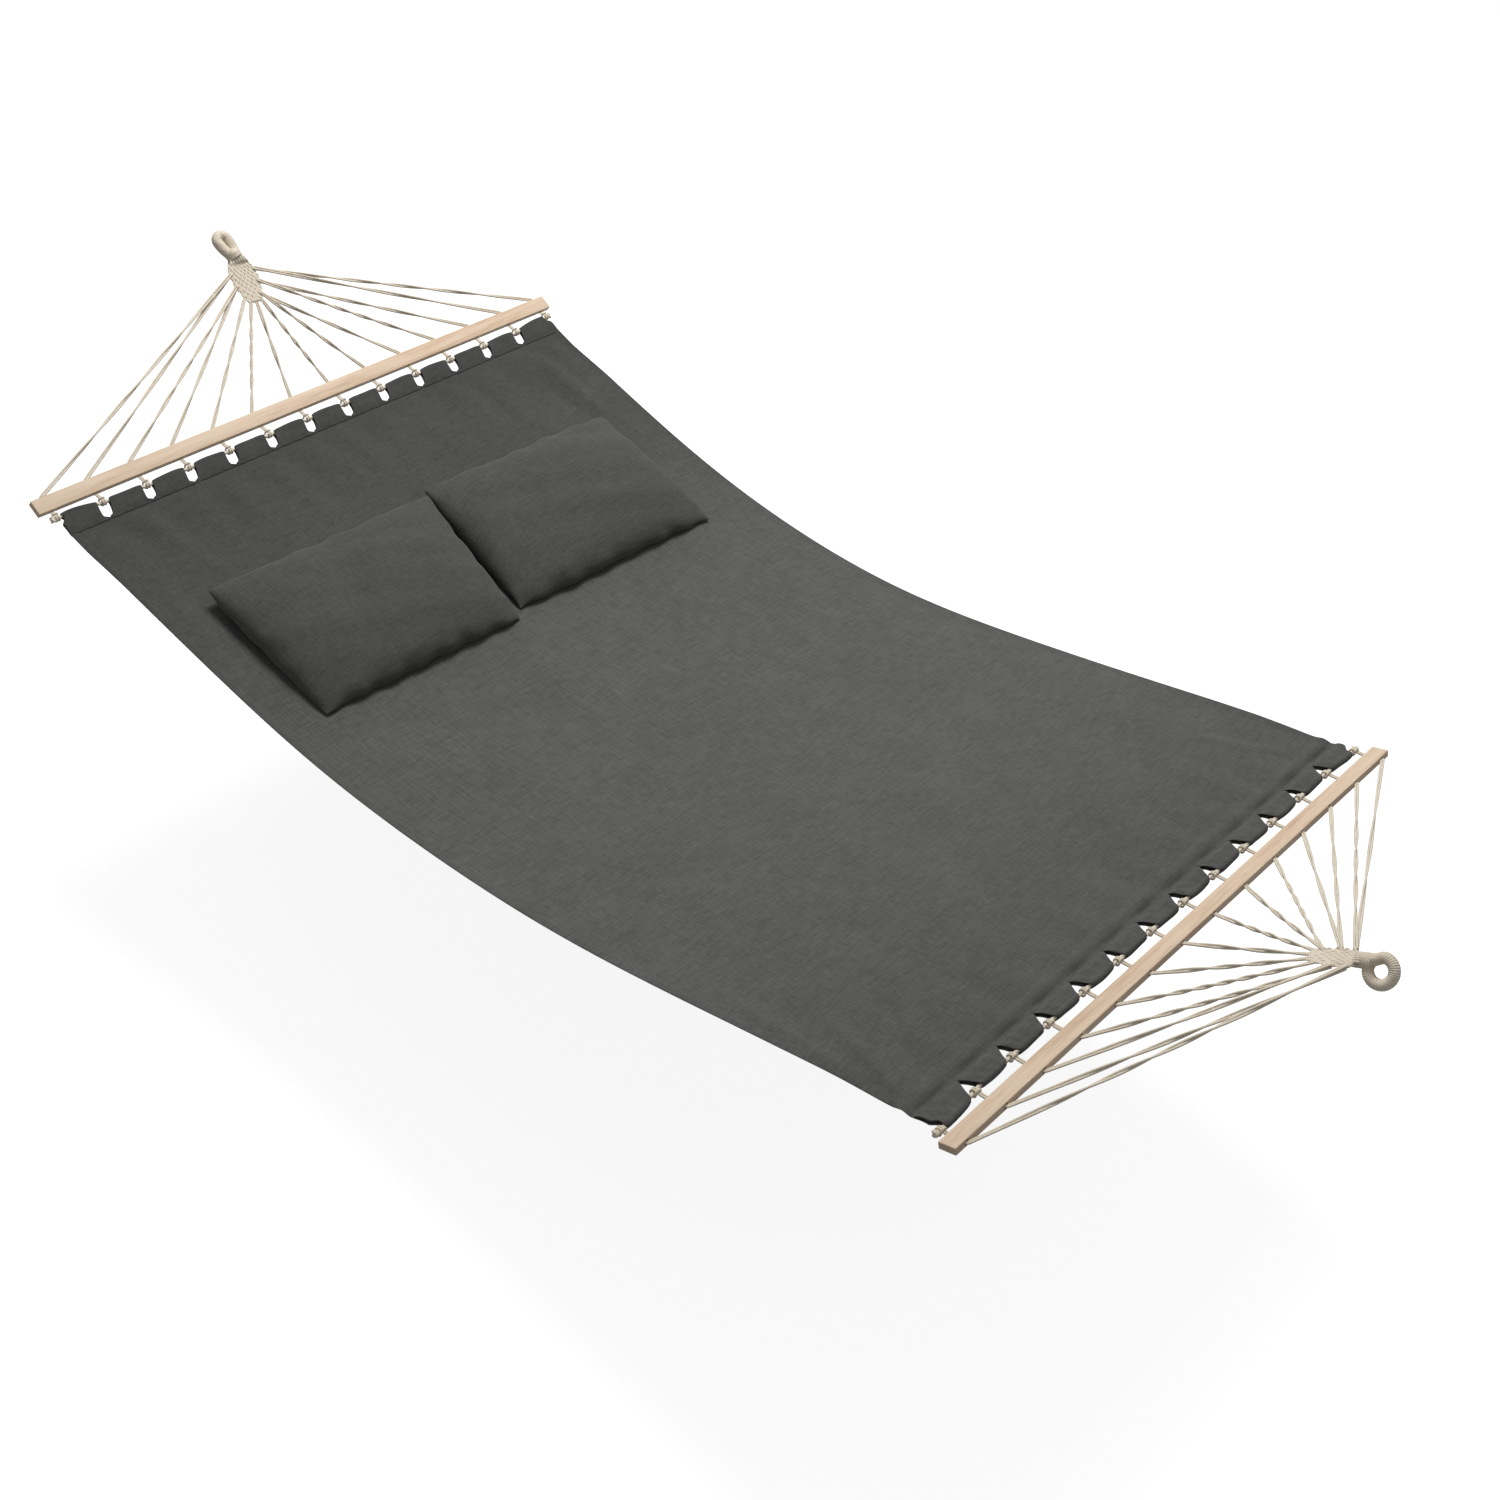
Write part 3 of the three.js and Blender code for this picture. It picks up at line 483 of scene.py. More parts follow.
# Grid of t by share. The side hems are a step up of half a cloth with a stitched groove inside it, and the
# outermost millimetres curl up on the far side and down on the near side.
def makeBed():
    t = closerSteps(bedPlan["rows"], bedPlan["rowsCloser"])[:, None]
    share = closerSteps(bedPlan["columns"], bedPlan["columnsCloser"])[None, :]
    points = bedPoint(t, share)
    inside = bedHalf(t) * (1 - np.abs(share))
    step = bedPlan["hemStep"] * (1 - ease(inside, bedPlan["sideHem"] - 0.001, bedPlan["sideHem"] + 0.0015))
    groove = -bedPlan["groove"] * np.exp(-(((inside - bedPlan["sideHem"] + 0.003) / 0.0012) ** 2))
    farCurl, nearCurl = (rise * np.exp(-inside / reach) for rise, reach in (bedPlan["farCurl"], bedPlan["nearCurl"]))
    points[..., 2] += step + groove + np.where(share > 0, farCurl, nearCurl)
    headTuck = points[0] + head["hemOut"] * bedPlan["tuck"]
    footTuck = points[-1] + foot["hemOut"] * bedPlan["tuck"]
    points = np.concatenate([headTuck[None], points, footTuck[None]])
    rows, columns = points.shape[:2]
    piece = meshPiece("bedCloth", points.reshape(-1, 3), gridFaces(rows, columns, False), material=bedCanvas)
    thick = piece.modifiers.new("thick", "SOLIDIFY")
    thick.thickness, thick.offset = bedPlan["thickness"], 0
    return applyModifiers(piece)


# Hems: tabs between the notches, folded round the hem rope and stitched down
hemPlan = {
    "cloth": 0.0013, "columns": 30, "rows": 68, "radius": 0.0064, "seam": 0.0420, "overlap": 0.0010,
    "outerSlit": 0.0115, "outerDepth": (0.014, 0.026), "pucker": 0.0008, "sway": 0.0012, "openRise": 0.0010,
    "head": {"mouth": 0.0150, "floor": 0.0125, "depth": 0.043, "puff": 0.0022, "corner": (0.009, 0.009),
             "blunt": 14, "lean": 0.013, "base": 0.0},
    "foot": {"mouth": 0.0200, "floor": 0.0, "depth": 0.043, "puff": 0.0056, "corner": (0.013, 0.004),
             "blunt": 5, "lean": 0.0, "base": -0.003},
}  # mouth and floor are half widths of a notch, corner how far the near and the far corner are drawn out


def hemShift(end, y):  # how far the hem is drawn out towards the bar near each side
    near, far = hemPlan[end["name"]]["corner"]
    return hemPlan[end["name"]]["base"] + near * ease(-y, 0.56, 0.70) + far * ease(y, 0.60, 0.71)


# Half width of a notch at a distance e in from the hem's edge, (1 - share^blunt)^0.5 times a straight taper
# from mouth to floor. Head: a tapering U. Foot: a leaf with a point.
def notchHalf(end, e):
    plan = hemPlan[end["name"]]
    share = np.clip(e / plan["depth"], 0, 1)
    half = plan["floor"] + (plan["mouth"] - plan["floor"]) * (1 - share) ** (1 if end is head else 0.9)
    return half * np.sqrt(1 - share ** plan["blunt"]) + 0.0026 * (1 - ease(e, 0, 0.006))


# From the seam over the rope and back under it: a is the way in from the rope's middle, b up. The upper cloth
# is puffed, overlap + (r - overlap)(1 - fall)^1.3 + puff sin(pi fall^1.5); the lower lies close to it.
def hemProfile(end):
    r, seam, over = hemPlan["radius"], hemPlan["seam"], hemPlan["overlap"]
    a = seam - seam * np.sin(np.linspace(0, 1, hemPlan["rows"] // 2 - 6) * np.pi / 2)
    fall = np.clip(a / seam, 0, 1)
    b = over + (r - over) * (1 - fall) ** 1.3 + hemPlan[end["name"]]["puff"] * np.sin(np.pi * fall**1.5)
    lower = -over - (r - over) * (1 - fall) ** 4 + 0.6 * (b - over) * fall * (1 - fall) ** 0.5
    turn = np.linspace(np.pi / 2 + 0.25, 3 * np.pi / 2 - 0.25, 13)
    arc = np.stack([r * np.cos(turn), r * np.sin(turn)], -1)
    return np.concatenate([np.stack([a, b], -1), arc, np.stack([a, lower], -1)[::-1]])


# The profile carried across each tab, with small puckers, and the tabs joined behind the notches
def makeHem(end):
    plan = hemPlan[end["name"]]
    profile = hemProfile(end)
    a, b = profile[:, 0][:, None, None], profile[:, 1][:, None, None]
    e = np.maximum(a + tunnelRadius, 0)
    half = np.repeat(notchHalf(end, e), cordCount, 1)
    # the outermost cords leave the cloth almost whole
    half[:, [0, -1]] = hemPlan["outerSlit"] * (1 - ease(e, *hemPlan["outerDepth"]))
    i = np.arange(cordCount - 1)[None, :, None]
    s = np.linspace(0, 1, hemPlan["columns"])[None, None, :]
    lean = np.zeros(cordCount)
    lean[1:-1] = plan["lean"]  # the middle of a notch wanders aside as it goes in
    wander = np.clip(e / plan["depth"], 0, 1) * ease(-e, -hemDepth, -0.044)
    middle = cordY[None, :, None] - lean[None, :, None] * wander
    left, right = (middle + half)[:, :-1], (middle - half)[:, 1:]
    y = left + (right - left) * s
    loose = 1 - ease(e, 0.006, 0.046)  # the tab is free of its neighbours near its outer edge
    fromMiddle = np.abs(2 * s - 1)
    rise = np.sign(b) * loose * hemPlan["openRise"] * np.sin(np.pi * s) ** 0.5
    pucker = hemPlan["pucker"] * np.sin(2 * np.pi * (3.5 * s + 0.37 * i) + 90 * a) * (0.35 + 0.65 * fromMiddle**2)
    pucker = pucker * ease(a, -0.012, 0.012)
    sway = hemPlan["sway"] * np.sin(2.1 * i + 5.0 * s)  # no tab hangs quite like the next
    reach = 0.0006 * np.sin(np.pi * s) * loose - 0.0012 * fromMiddle**6 * loose
    reach = reach + hemShift(end, y) * (1 - ease(a, 0.0, hemPlan["seam"]))
    height = b + rise + pucker + sway * loose
    place = end["rope"] - end["hemOut"] * (a - reach)[..., None] + end["hemUp"] * height[..., None]
    place = np.broadcast_to(place, y.shape + (3,)).copy()
    place[..., 1] += y
    rows, tabs, columns = y.shape
    points = place.reshape(-1, 3)
    r, k, c = np.meshgrid(np.arange(rows - 1), np.arange(tabs), np.arange(columns - 1), indexing="ij")
    here, below = (r * tabs + k) * columns + c, ((r + 1) * tabs + k) * columns + c
    quads = np.stack([here, here + 1, below + 1, below], -1).reshape(-1, 4)
    if end is head:
        quads = quads[:, ::-1]
    piece = meshPiece(end["name"] + "Hem", points, quads, material=bedCanvas)
    weld = piece.modifiers.new("weld", "WELD")  # tabs join behind the notches
    weld.merge_threshold = 0.00005
    thick = piece.modifiers.new("thick", "SOLIDIFY")
    thick.thickness, thick.offset = hemPlan["cloth"], 0
    return applyModifiers(piece)


threadPlan = {"gauge": 0.0042, "length": 0.0030, "radius": 0.00042, "sides": 6, "inset": 0.0022}


# Short threads laid along a line of points, each a closed bead of four rings, sunk half into the cloth
def stitchRow(points, normals):
    gauge, length, radius = threadPlan["gauge"], threadPlan["length"], threadPlan["radius"]
    run = pathLength(points)
    at = np.arange(gauge, run[-1] - gauge, gauge)
    middle = np.stack([np.interp(at, run, points[:, k]) for k in range(3)], -1)
    up = unit(np.stack([np.interp(at, run, normals[:, k]) for k in range(3)], -1))
    along = unit(np.stack([np.interp(at, run, np.gradient(points[:, k], run)) for k in range(3)], -1))
    side = np.cross(along, up)
    angle = np.linspace(0, 2 * np.pi, threadPlan["sides"], endpoint=False)[:, None]
    spots, sizes = np.array([-0.5, -0.3, 0.3, 0.5]) * length, np.array([0.35, 1, 1, 0.35]) * radius
    lift = np.array([-0.2, 0.35, 0.35, -0.2]) * radius * 2
    ring = np.cos(angle) * side[:, None, None] + np.sin(angle) * up[:, None, None]
    centre = middle[:, None] + along[:, None] * spots[None, :, None] + up[:, None] * lift[None, :, None]
    return centre[:, :, None] + ring * sizes[None, :, None, None]


def makeStitching(name, rows):  # the same faces on every bead, and a fan over each of its ends
    beads = np.concatenate(rows)
    count, rings, sides = beads.shape[:3]
    r, c = np.meshgrid(np.arange(rings - 1), np.arange(sides), indexing="ij")
    n = (c + 1) % sides
    quads = np.stack([r * sides + c, (r + 1) * sides + c, (r + 1) * sides + n, r * sides + n], -1).reshape(-1, 4)
    offset = (np.arange(count) * rings * sides)[:, None, None]
    k = np.arange(1, sides - 1)
    low = np.stack([np.zeros_like(k), k, k + 1], -1)
    high = (rings - 1) * sides + low[:, ::-1]
    triangles = np.concatenate([(ends[None] + offset).reshape(-1, 3) for ends in (low, high)])
    quads = (quads[None] + offset).reshape(-1, 4)
    return meshPiece(name, beads.reshape(-1, 3), quads, triangles, material=threadGrey)


print("cloth: bed")
bedCloth = makeBed()
hems = {name: makeHem(endPlan[name]) for name in ("head", "foot")}
for name, hem in hems.items():
    dress(hem, "hammock", "bed_canvas", name + "_hem")
dress(bedCloth, "hammock", "bed_canvas", "bed_fabric")

print("cloth: stitching")
along = np.linspace(-0.995, 0.995, 900)
threadRows = []
for sign in (-1, 1):  # down each side hem
    share = sign * (1 - (bedPlan["sideHem"] - 0.003) / bedHalf(along))
    line = bedPoint(along, share)
    line[:, 2] += bedPlan["thickness"] / 2 + 0.0004
    threadRows.append(stitchRow(line, np.tile([0.0, 0, 1], (len(line), 1))))
for end in (head, foot):  # along each end seam
    y = np.linspace(-0.708, 0.708, 600)[:, None]
    upper = hemProfile(end)[:20]
    inset = hemPlan["seam"] - threadPlan["inset"]
    height = np.interp(inset, upper[::-1, 0], upper[::-1, 1]) + hemPlan["cloth"] / 2 + 0.0003
    line = end["rope"] - end["hemOut"] * inset + end["hemUp"] * height + acrossWay * y
    threadRows.append(stitchRow(line, np.tile(end["hemUp"], (len(line), 1))))
stitching = makeStitching("stitching", threadRows)
dress(stitching, "hammock", "bed_canvas")


# Spreader bars
barPlan = {"overhang": 0.030, "round": 0.0022, "hole": 0.0054, "lip": 0.0066, "lipDepth": 0.0014, "past": 0.004,
           "endFacing": 0.95, "edgeFacing": 0.82}


# A board with eased edges, and one hole for each doubled cord through its width, flared from hole to lip at both
# mouths. Its ends are darker than its faces, as end grain is, and its narrow sides carry painted shade.
def makeBar(end):
    length = cordPitch * (cordCount - 1) + 2 * barPlan["overhang"]
    corners = np.array([[w, h] for w, h in ((0, -1), (1, -1), (1, 1), (0, 1))], float)
    section = corners[:, :1] * barWidth * end["barOut"] + corners[:, 1:] * barThickness / 2 * end["barUp"]
    section += end["barInner"]
    points = np.concatenate([section + acrossWay * s * length / 2 for s in (-1, 1)])
    quads = np.array([[0, 1, 2, 3], [7, 6, 5, 4], [0, 4, 5, 1], [1, 5, 6, 2], [2, 6, 7, 3], [3, 7, 4, 0]])
    if end is foot:
        quads = quads[:, ::-1]
    bar = meshPiece(end["name"] + "Bar", points, quads, material=paleWood)
    eased = bar.modifiers.new("eased", "BEVEL")
    eased.width, eased.segments, eased.limit_method = barPlan["round"], 4, "NONE"
    applyModifiers(bar)
    reach = np.array([-barPlan["past"], -0.0002, barPlan["lipDepth"]])
    reach = np.concatenate([reach, barWidth - reach[::-1]])
    sizes = np.array([barPlan["lip"] + 0.001, barPlan["lip"], barPlan["hole"]])
    sizes = np.concatenate([sizes, sizes[::-1]])
    angle = np.linspace(0, 2 * np.pi, 28, endpoint=False)
    ring = np.cos(angle)[:, None] * acrossWay + np.sin(angle)[:, None] * end["barUp"]
    drill = end["barInner"] + reach[:, None, None] * end["barOut"] + sizes[:, None, None] * ring[None]
    drills = tubesPiece("drills", [drill + acrossWay * y for y in cordY], paleWood)
    cut = bar.modifiers.new("holes", "BOOLEAN")
    cut.operation, cut.solver, cut.object = "DIFFERENCE", "EXACT", drills
    applyModifiers(bar)
    bpy.data.objects.remove(drills)
    bar.data.shade_smooth()
    bar.data.set_sharp_from_angle(angle=math.radians(35))
    facing = np.empty(len(bar.data.polygons) * 3, np.float32)
    bar.data.polygons.foreach_get("normal", facing)
    facing = facing.reshape(-1, 3)
    bar.data.materials.append(endGrain)
    bar.data.materials.append(paintedEdgeShade)
    # painted shade on the narrow sides, the faces that look along barOut
    onEdge = np.abs(facing @ end["barOut"]) > barPlan["edgeFacing"]
    which = np.where(np.abs(facing[:, 1]) > barPlan["endFacing"], 1, np.where(onEdge, 2, 0))
    bar.data.polygons.foreach_set("material_index", which.astype(np.int32))
    return bar


print("wood: spreader bars")
for end in (head, foot):
    dress(makeBar(end), "hammock", "pale_wood", end["name"] + "_spreader_bar")


# Crowns: the cords gather here, woven over and under cross cords, and leave at their places
crownPlan = {  # all in millimetres
    # where each cord leaves: in from the neck, across and up
    "exits": [(46, -33, 2.8), (46, -33, -2.8), (75, -31, 2.8), (75, -31, -2.8), (100, -20, 0), (111, -9.5, 0),
              (112, 3.5, 0), (110, 16.5, 0), (101, 22, 2.8), (101, 22, -2.8), (73, 31, 2.8), (73, 31, -2.8),
              (43, 33, 2.8), (43, 33, -2.8)],
    # half width, in from the neck
    "outline": {"head": ([-20, 0, 14, 30, 43, 72, 98, 114, 118], [14.5, 17, 25, 34, 39, 37, 28, 21, 18]),
                "foot": ([-20, 0, 14, 30, 43, 72, 98, 114, 118], [12.5, 13.5, 17, 27, 33, 33, 26, 20, 17])},
    "cord": 2.9, "crossCord": 1.9, "firstRow": 30, "rowPitch": 7.6, "lift": 1.7, "bundle": 9.0, "core": (8.5, 2.4),
}


def crownAt(end, u):  # the same place in a crown that is shorter by some millimetres
    u = np.asarray(u, float)
    return np.where(u < 10, u, np.maximum(u - end["shorter"] * 1000, 10 + (u - 10) * 0.45))


def crownPlace(end, u, a, w):  # millimetres in from the neck, across and up
    u, a, w = (np.asarray(v, float)[..., None] / 1000 for v in np.broadcast_arrays(crownAt(end, u), a, w))
    return end["neck"] + end["crownIn"] * u + end["crownAcross"] * a + end["fanUp"] * w


# Each cord i: across = outline(u) * f, f its place among the cords still in the crown; it crosses the cross
# cords over and under, lift * cos(pi (u - first row) / pitch), and joins a round bundle at the neck.
def crownWarps(end):
    tubes = []
    for i, (uExit, aExit, wExit) in enumerate(crownPlan["exits"]):
        u = np.linspace(-19, uExit, 90)
        low = np.interp(u, [0, 46, 75, 100, 118], [-0.5, -0.5, 1.5, 3.5, 3.8])
        high = np.interp(u, [0, 43, 73, 101, 118], [13.5, 13.5, 11.5, 9.5, 8.2])
        f = 2 * (i - low) / (high - low) - 1
        width = np.interp(u, *crownPlan["outline"][end["name"]])
        layer = 1 if i % 2 else -1
        flat = ease(u, 6, 30)
        bundled = crownPlan["bundle"] * np.sqrt(np.clip(1 - f * f, 0.02, 1))
        weave = crownPlan["lift"] * np.cos(np.pi * (u - crownPlan["firstRow"]) / crownPlan["rowPitch"])
        turn = 0.5 * (1 - ease(u, -16, 30))
        a, w = width * 0.93 * f, layer * (weave * flat + bundled * (1 - flat))
        a, w = a * np.cos(turn) - w * np.sin(turn), a * np.sin(turn) * (1 - flat) + w * np.cos(turn)
        near = ease(u, uExit - 14, uExit)
        a, w = a * (1 - near) + aExit * near, w * (1 - near) + wExit * near
        path = softPath(crownPlace(end, u, a, w), 0.0014, 0.0016)
        reference = end["fanUp"] + 0.3 * end["crownAcross"]
        tubes.append(ropeTube(path, crownPlan["cord"] / 1000, 3, 0.016, 12, reference))
    return tubes


def crownWefts(end):  # one cross cord, there and back, a row at each crossing
    rows = np.arange(crownPlan["firstRow"], 116, crownPlan["rowPitch"])
    path = []
    for k, u in enumerate(rows):
        if k and crownAt(end, u) - crownAt(end, rows[k - 1]) < 3:
            continue
        width = np.interp(u, *crownPlan["outline"][end["name"]]) - 3.2
        a = np.linspace(-width, width, 12) * (1 if k % 2 else -1)
        path.append(crownPlace(end, np.full(12, u), a, 0.9 * np.cos(np.linspace(0, 6 * np.pi, 12))))
    path = softPath(np.concatenate(path), 0.0016, 0.0016)
    return [ropeTube(path, crownPlan["crossCord"] / 1000, 3, 0.015, 10, end["fanUp"] + 0.2 * end["out"])]


def crownCore(end):  # what fills the crown under the woven cords: an oval that flattens away from the neck
    u = np.linspace(-12, 114, 40)
    width = np.interp(u, *crownPlan["outline"][end["name"]]) - 3.5
    atNeck, beyond = crownPlan["core"]
    thick = atNeck + (beyond - atNeck) * ease(u, 6, 32)
    angle = np.linspace(0, 2 * np.pi, 20, endpoint=False)
    a, w = width[:, None] * np.cos(angle), thick[:, None] * np.sin(angle)
    return [crownPlace(end, np.broadcast_to(u[:, None], a.shape), a, w)]


print("rope: crowns")
for end in (head, foot):
    tubes = crownWarps(end) + crownWefts(end) + crownCore(end)
    crown = tubesPiece(end["name"] + "Crown", tubes, crownRope)
    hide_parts(end["name"] + "_crown")
    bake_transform(crown)


# Fan cords: doubled, twisted round each other, through the bar and round the hem rope
cordPlan = {
    "radius": 0.0023, "apart": 0.0047, "spacing": 0.0022, "lay": 0.015, "around": 12,
    # half of a cow hitch, in mm outwards, aside and up from the hem rope's middle: over, round and under the
    # rope, up beside the pair, and across it
    "hitch": [(12.5, 2.4, 1.5), (7.5, 2.4, 3.4), (2.5, 2.4, 6.4), (-3.6, 2.5, 5.4), (-6.4, 2.8, 0.4),
              (-4.4, 3.6, -4.8), (0.6, 4.9, -6.4), (5.0, 6.2, -4.2), (7.2, 6.6, 0.4), (7.6, 5.2, 5.8),
              (7.2, 2.4, 8.2), (7.2, 0.1, 8.4)],
    "halfTurns": {"head": [3, 2, 4, 2, 3, 5, 2, 4, 3, 2, 5, 3, 2, 4],
                  "foot": [4, 3, 2, 5, 6, 3, 2, 4, 3, 5, 2, 3, 4, 2]},
    "sag": {"head": [2, 1, 1, 2, 1, 0, 1, 1, 2, 1, 3, 1, 2, 1],  # mm
            "foot": [3, 2, 2, 1, 3, 1, 1, 2, 4, 1, 2, 1, 2, 1]},
}


# Both strands: offset from the pair's middle line by half of apart, in a way that turns round the line a whole
# number of half turns between the crown and the bar, and lies across the hole inside it.
def cordPaths(end, i):
    u, a, w = crownPlan["exits"][i]
    y = cordY[i]
    start = crownPlace(end, u - 7, a * 0.86, w)
    outer = end["mouth"] + acrossWay * y + end["barOut"] * 0.002
    inner = end["barInner"] + acrossWay * y - end["barOut"] * 0.002
    share = np.linspace(0, 1, 60)
    fan = start + (outer - start) * share[:, None]
    fan[:, 2] -= 0.001 * cordPlan["sag"][end["name"]][i] * 4 * share * (1 - share)
    way = unit(outer - start)
    flat = unit(acrossWay - way * (acrossWay @ way))
    upright = np.cross(way, flat)
    halfTurns = cordPlan["halfTurns"][end["name"]][i]
    turn = np.pi * halfTurns * ease(share, 0.02, 0.97)
    twist = np.cos(turn)[:, None] * flat + np.sin(turn)[:, None] * upright
    half = cordPlan["apart"] / 2
    rope = end["rope"] + acrossWay * y + end["hemOut"] * hemShift(end, y)
    out, aside, up = np.array(cordPlan["hitch"]).T[..., None] / 1000
    strands = []
    flip = 1 if halfTurns % 2 == 0 else -1
    for sign in (1, -1):
        inHole = np.stack([outer, inner]) + acrossWay * half * sign * flip
        tied = rope + end["hemOut"] * out + acrossWay * aside * sign * flip + end["hemUp"] * up
        strands.append(np.concatenate([fan + twist * half * sign, inHole, tied]))
    return np.concatenate([strands[0], strands[1][::-1]])


print("rope: fan cords")
for end in (head, foot):
    for i in range(cordCount):
        path = softPath(cordPaths(end, i), cordPlan["spacing"], 0.0018)
        label = f"{i + 1:02d}"
        tube = ropeTube(path, cordPlan["radius"], 3, cordPlan["lay"], cordPlan["around"], None)
        cord = tubesPiece(end["name"] + "Cord" + label, [tube], cottonRope)
        dress(cord, "hammock", "cotton_rope", f"{end['name']}_cord_{label}")

# Hem ropes: straight but for a slight pull towards each cord, with a stop knot at both ends
ropePlan = {"radius": 0.0040, "lay": 0.026, "past": 0.0101, "pull": 0.0006, "knotSize": 0.0018, "knotCord": 0.0030}

print("rope: hem ropes")
for end in (head, foot):
    reach = cordY[-1] + ropePlan["past"]
    y = np.linspace(-reach, reach, 1000)
    drawn = ropePlan["pull"] * np.cos(2 * np.pi * y / cordPitch) + hemShift(end, y)
    path = end["rope"] + acrossWay * y[:, None] + end["hemOut"] * drawn[:, None]
    tubes = [ropeTube(path, ropePlan["radius"], 3, ropePlan["lay"], 15, end["hemUp"], 0.2)]
    k = np.linspace(0, 2 * np.pi, 120)[:-1]
    for sign in (-1, 1):  # a stop knot, size times -1.3 sin 3k aside, sin k + 2 sin 2k out, cos k - 2 cos 2k up
        trefoil = [-np.sin(3 * k) * 1.3, np.sin(k) + 2 * np.sin(2 * k), np.cos(k) - 2 * np.cos(2 * k)]
        aside, out, up = np.array(trefoil)[..., None] * ropePlan["knotSize"]
        knot = path[0 if sign < 0 else -1] + aside * acrossWay + out * end["hemOut"] + up * end["hemUp"]
        ring = np.concatenate([knot, knot[:2]])
        tubes.append(ropeTube(ring, ropePlan["knotCord"], 3, 0.018, 10, acrossWay, 0.18))
    rope = tubesPiece(end["name"] + "HemRope", tubes, cottonRope)
    dress(rope, "hammock", "cotton_rope", end["name"] + "_hem_rope")


# Eyes: rope loops close wound with thin cord
eyePlan = {
    "head": {"reach": 0.0124, "slit": 0.0030, "length": 0.0715, "turns": 52, "height": 0.0008, "legHalf": 0.0088,
             "throat": ([-0.002, 0.008, 0.016, 0.020], [0.0168, 0.0184, 0.0204, 0.0208]),
             "throatTurns": 12, "throatHeight": 0.0009},
    "foot": {"reach": 0.0110, "ring": 0.0238, "outward": 0.034, "drop": 0.0125, "twist": 60, "turns": 44,
             "height": 0.0014, "throat": ([-0.003, 0.004, 0.012, 0.017], [0.0138, 0.0152, 0.0156, 0.0138]),
             "throatTurns": 7, "throatHeight": 0.0013},
}  # reach is half the loop's thickness with its winding; throat gives half widths outwards from the neck


# Close winding, a ridge for each turn: r = radius - height * (1 - |sin(pi turns share + angle / 2)|^0.7).
# Squeeze makes it an oval, wider in its side way.
def woundTube(path, radius, turns, height, around, reference, squeeze=None):
    along, sideWay, upWay = pathWays(path, reference)
    share = pathLength(path) / pathLength(path)[-1]
    angle = np.linspace(0, 2 * np.pi, around, endpoint=False)[None, :]
    crest = np.abs(np.sin(np.pi * turns * share[:, None] + angle / 2)) ** 0.7
    r = radius[:, None] - height * (1 - crest)
    if squeeze is not None:
        sideWay = sideWay * squeeze[:, None]
    ring = np.cos(angle)[..., None] * sideWay[:, None] + np.sin(angle)[..., None] * upWay[:, None]
    return path[:, None] + r[..., None] * ring


def headEyePath():  # out along one leg, round the bow and back along the other, with a slit between them
    plan = eyePlan["head"]
    spread = plan["reach"] + plan["slit"] / 2
    centre = plan["length"] - plan["reach"] - spread
    leg = np.linspace(0.012, centre, 30)
    v = plan["legHalf"] + (spread - plan["legHalf"]) * np.sin(np.pi / 2 * (leg - leg[0]) / (leg[-1] - leg[0]))
    bow = np.linspace(-np.pi / 2, np.pi / 2, 40)[1:-1]
    u = np.concatenate([leg, centre + spread * np.cos(bow), leg[::-1]])
    a = np.concatenate([-v, spread * np.sin(bow), v[::-1]])
    return head["neck"] + head["eyeOut"] * u[:, None] + head["eyeAcross"] * a[:, None]


def footEyePath():  # a short stem and most of a circle, in a plane that is twisted about the stem
    plan = eyePlan["foot"]
    tilt = math.radians(plan["twist"])
    ringSide = -(math.sin(tilt) * foot["fanUp"] + math.cos(tilt) * acrossWay)
    normal = math.cos(tilt) * foot["fanUp"] - math.sin(tilt) * acrossWay
    theta = np.radians(np.linspace(-84, 196, 90))
    u = np.concatenate([[0.004, 0.012, 0.021], plan["outward"] + plan["ring"] * np.cos(theta)])
    s = np.concatenate([[0.0, -0.0010, -0.0045], plan["drop"] + plan["ring"] * np.sin(theta)])
    return foot["neck"] + foot["out"] * u[:, None] + ringSide * s[:, None], normal, ringSide


def makeLoop(end, path, size, sides, reference):
    plan = eyePlan[end["name"]]
    loop = woundTube(path, size, plan["turns"], plan["height"], sides, reference)
    whip = tubesPiece(end["name"] + "EyeWhipping", [loop], windingCord)
    dress(whip, "eyes", "whipping_cord", end["name"] + "_eye_whipping")


def makeThroat(end, path, size, sides, reference, squeeze=None):  # turns from the neck to where the loop begins
    plan = eyePlan[end["name"]]
    throat = woundTube(path, size, plan["throatTurns"], plan["throatHeight"], sides, reference, squeeze)
    eye = tubesPiece(end["name"] + "Eye", [throat], windingCord)
    dress(eye, "eyes", "cotton_rope", end["name"] + "_eye")


print("rope: eyes")
path = softPath(headEyePath(), 0.0005, 0.0025)
share = np.linspace(0, 1, len(path))
slimmer = 0.05 * np.exp(-(((share - 0.5) / 0.16) ** 2)) + 0.1 * np.abs(2 * share - 1) ** 4  # at the bow and the neck
makeLoop(head, path, eyePlan["head"]["reach"] * (1 - slimmer), 28, head["fanUp"])
u = np.linspace(-0.002, 0.020, 90)
half = np.interp(u, *eyePlan["head"]["throat"])
flat = half * (1 - 0.35 * ease(u, 0.006, 0.020))
makeThroat(head, head["neck"] + head["eyeOut"] * u[:, None], flat, 48, head["eyeAcross"], half / flat)

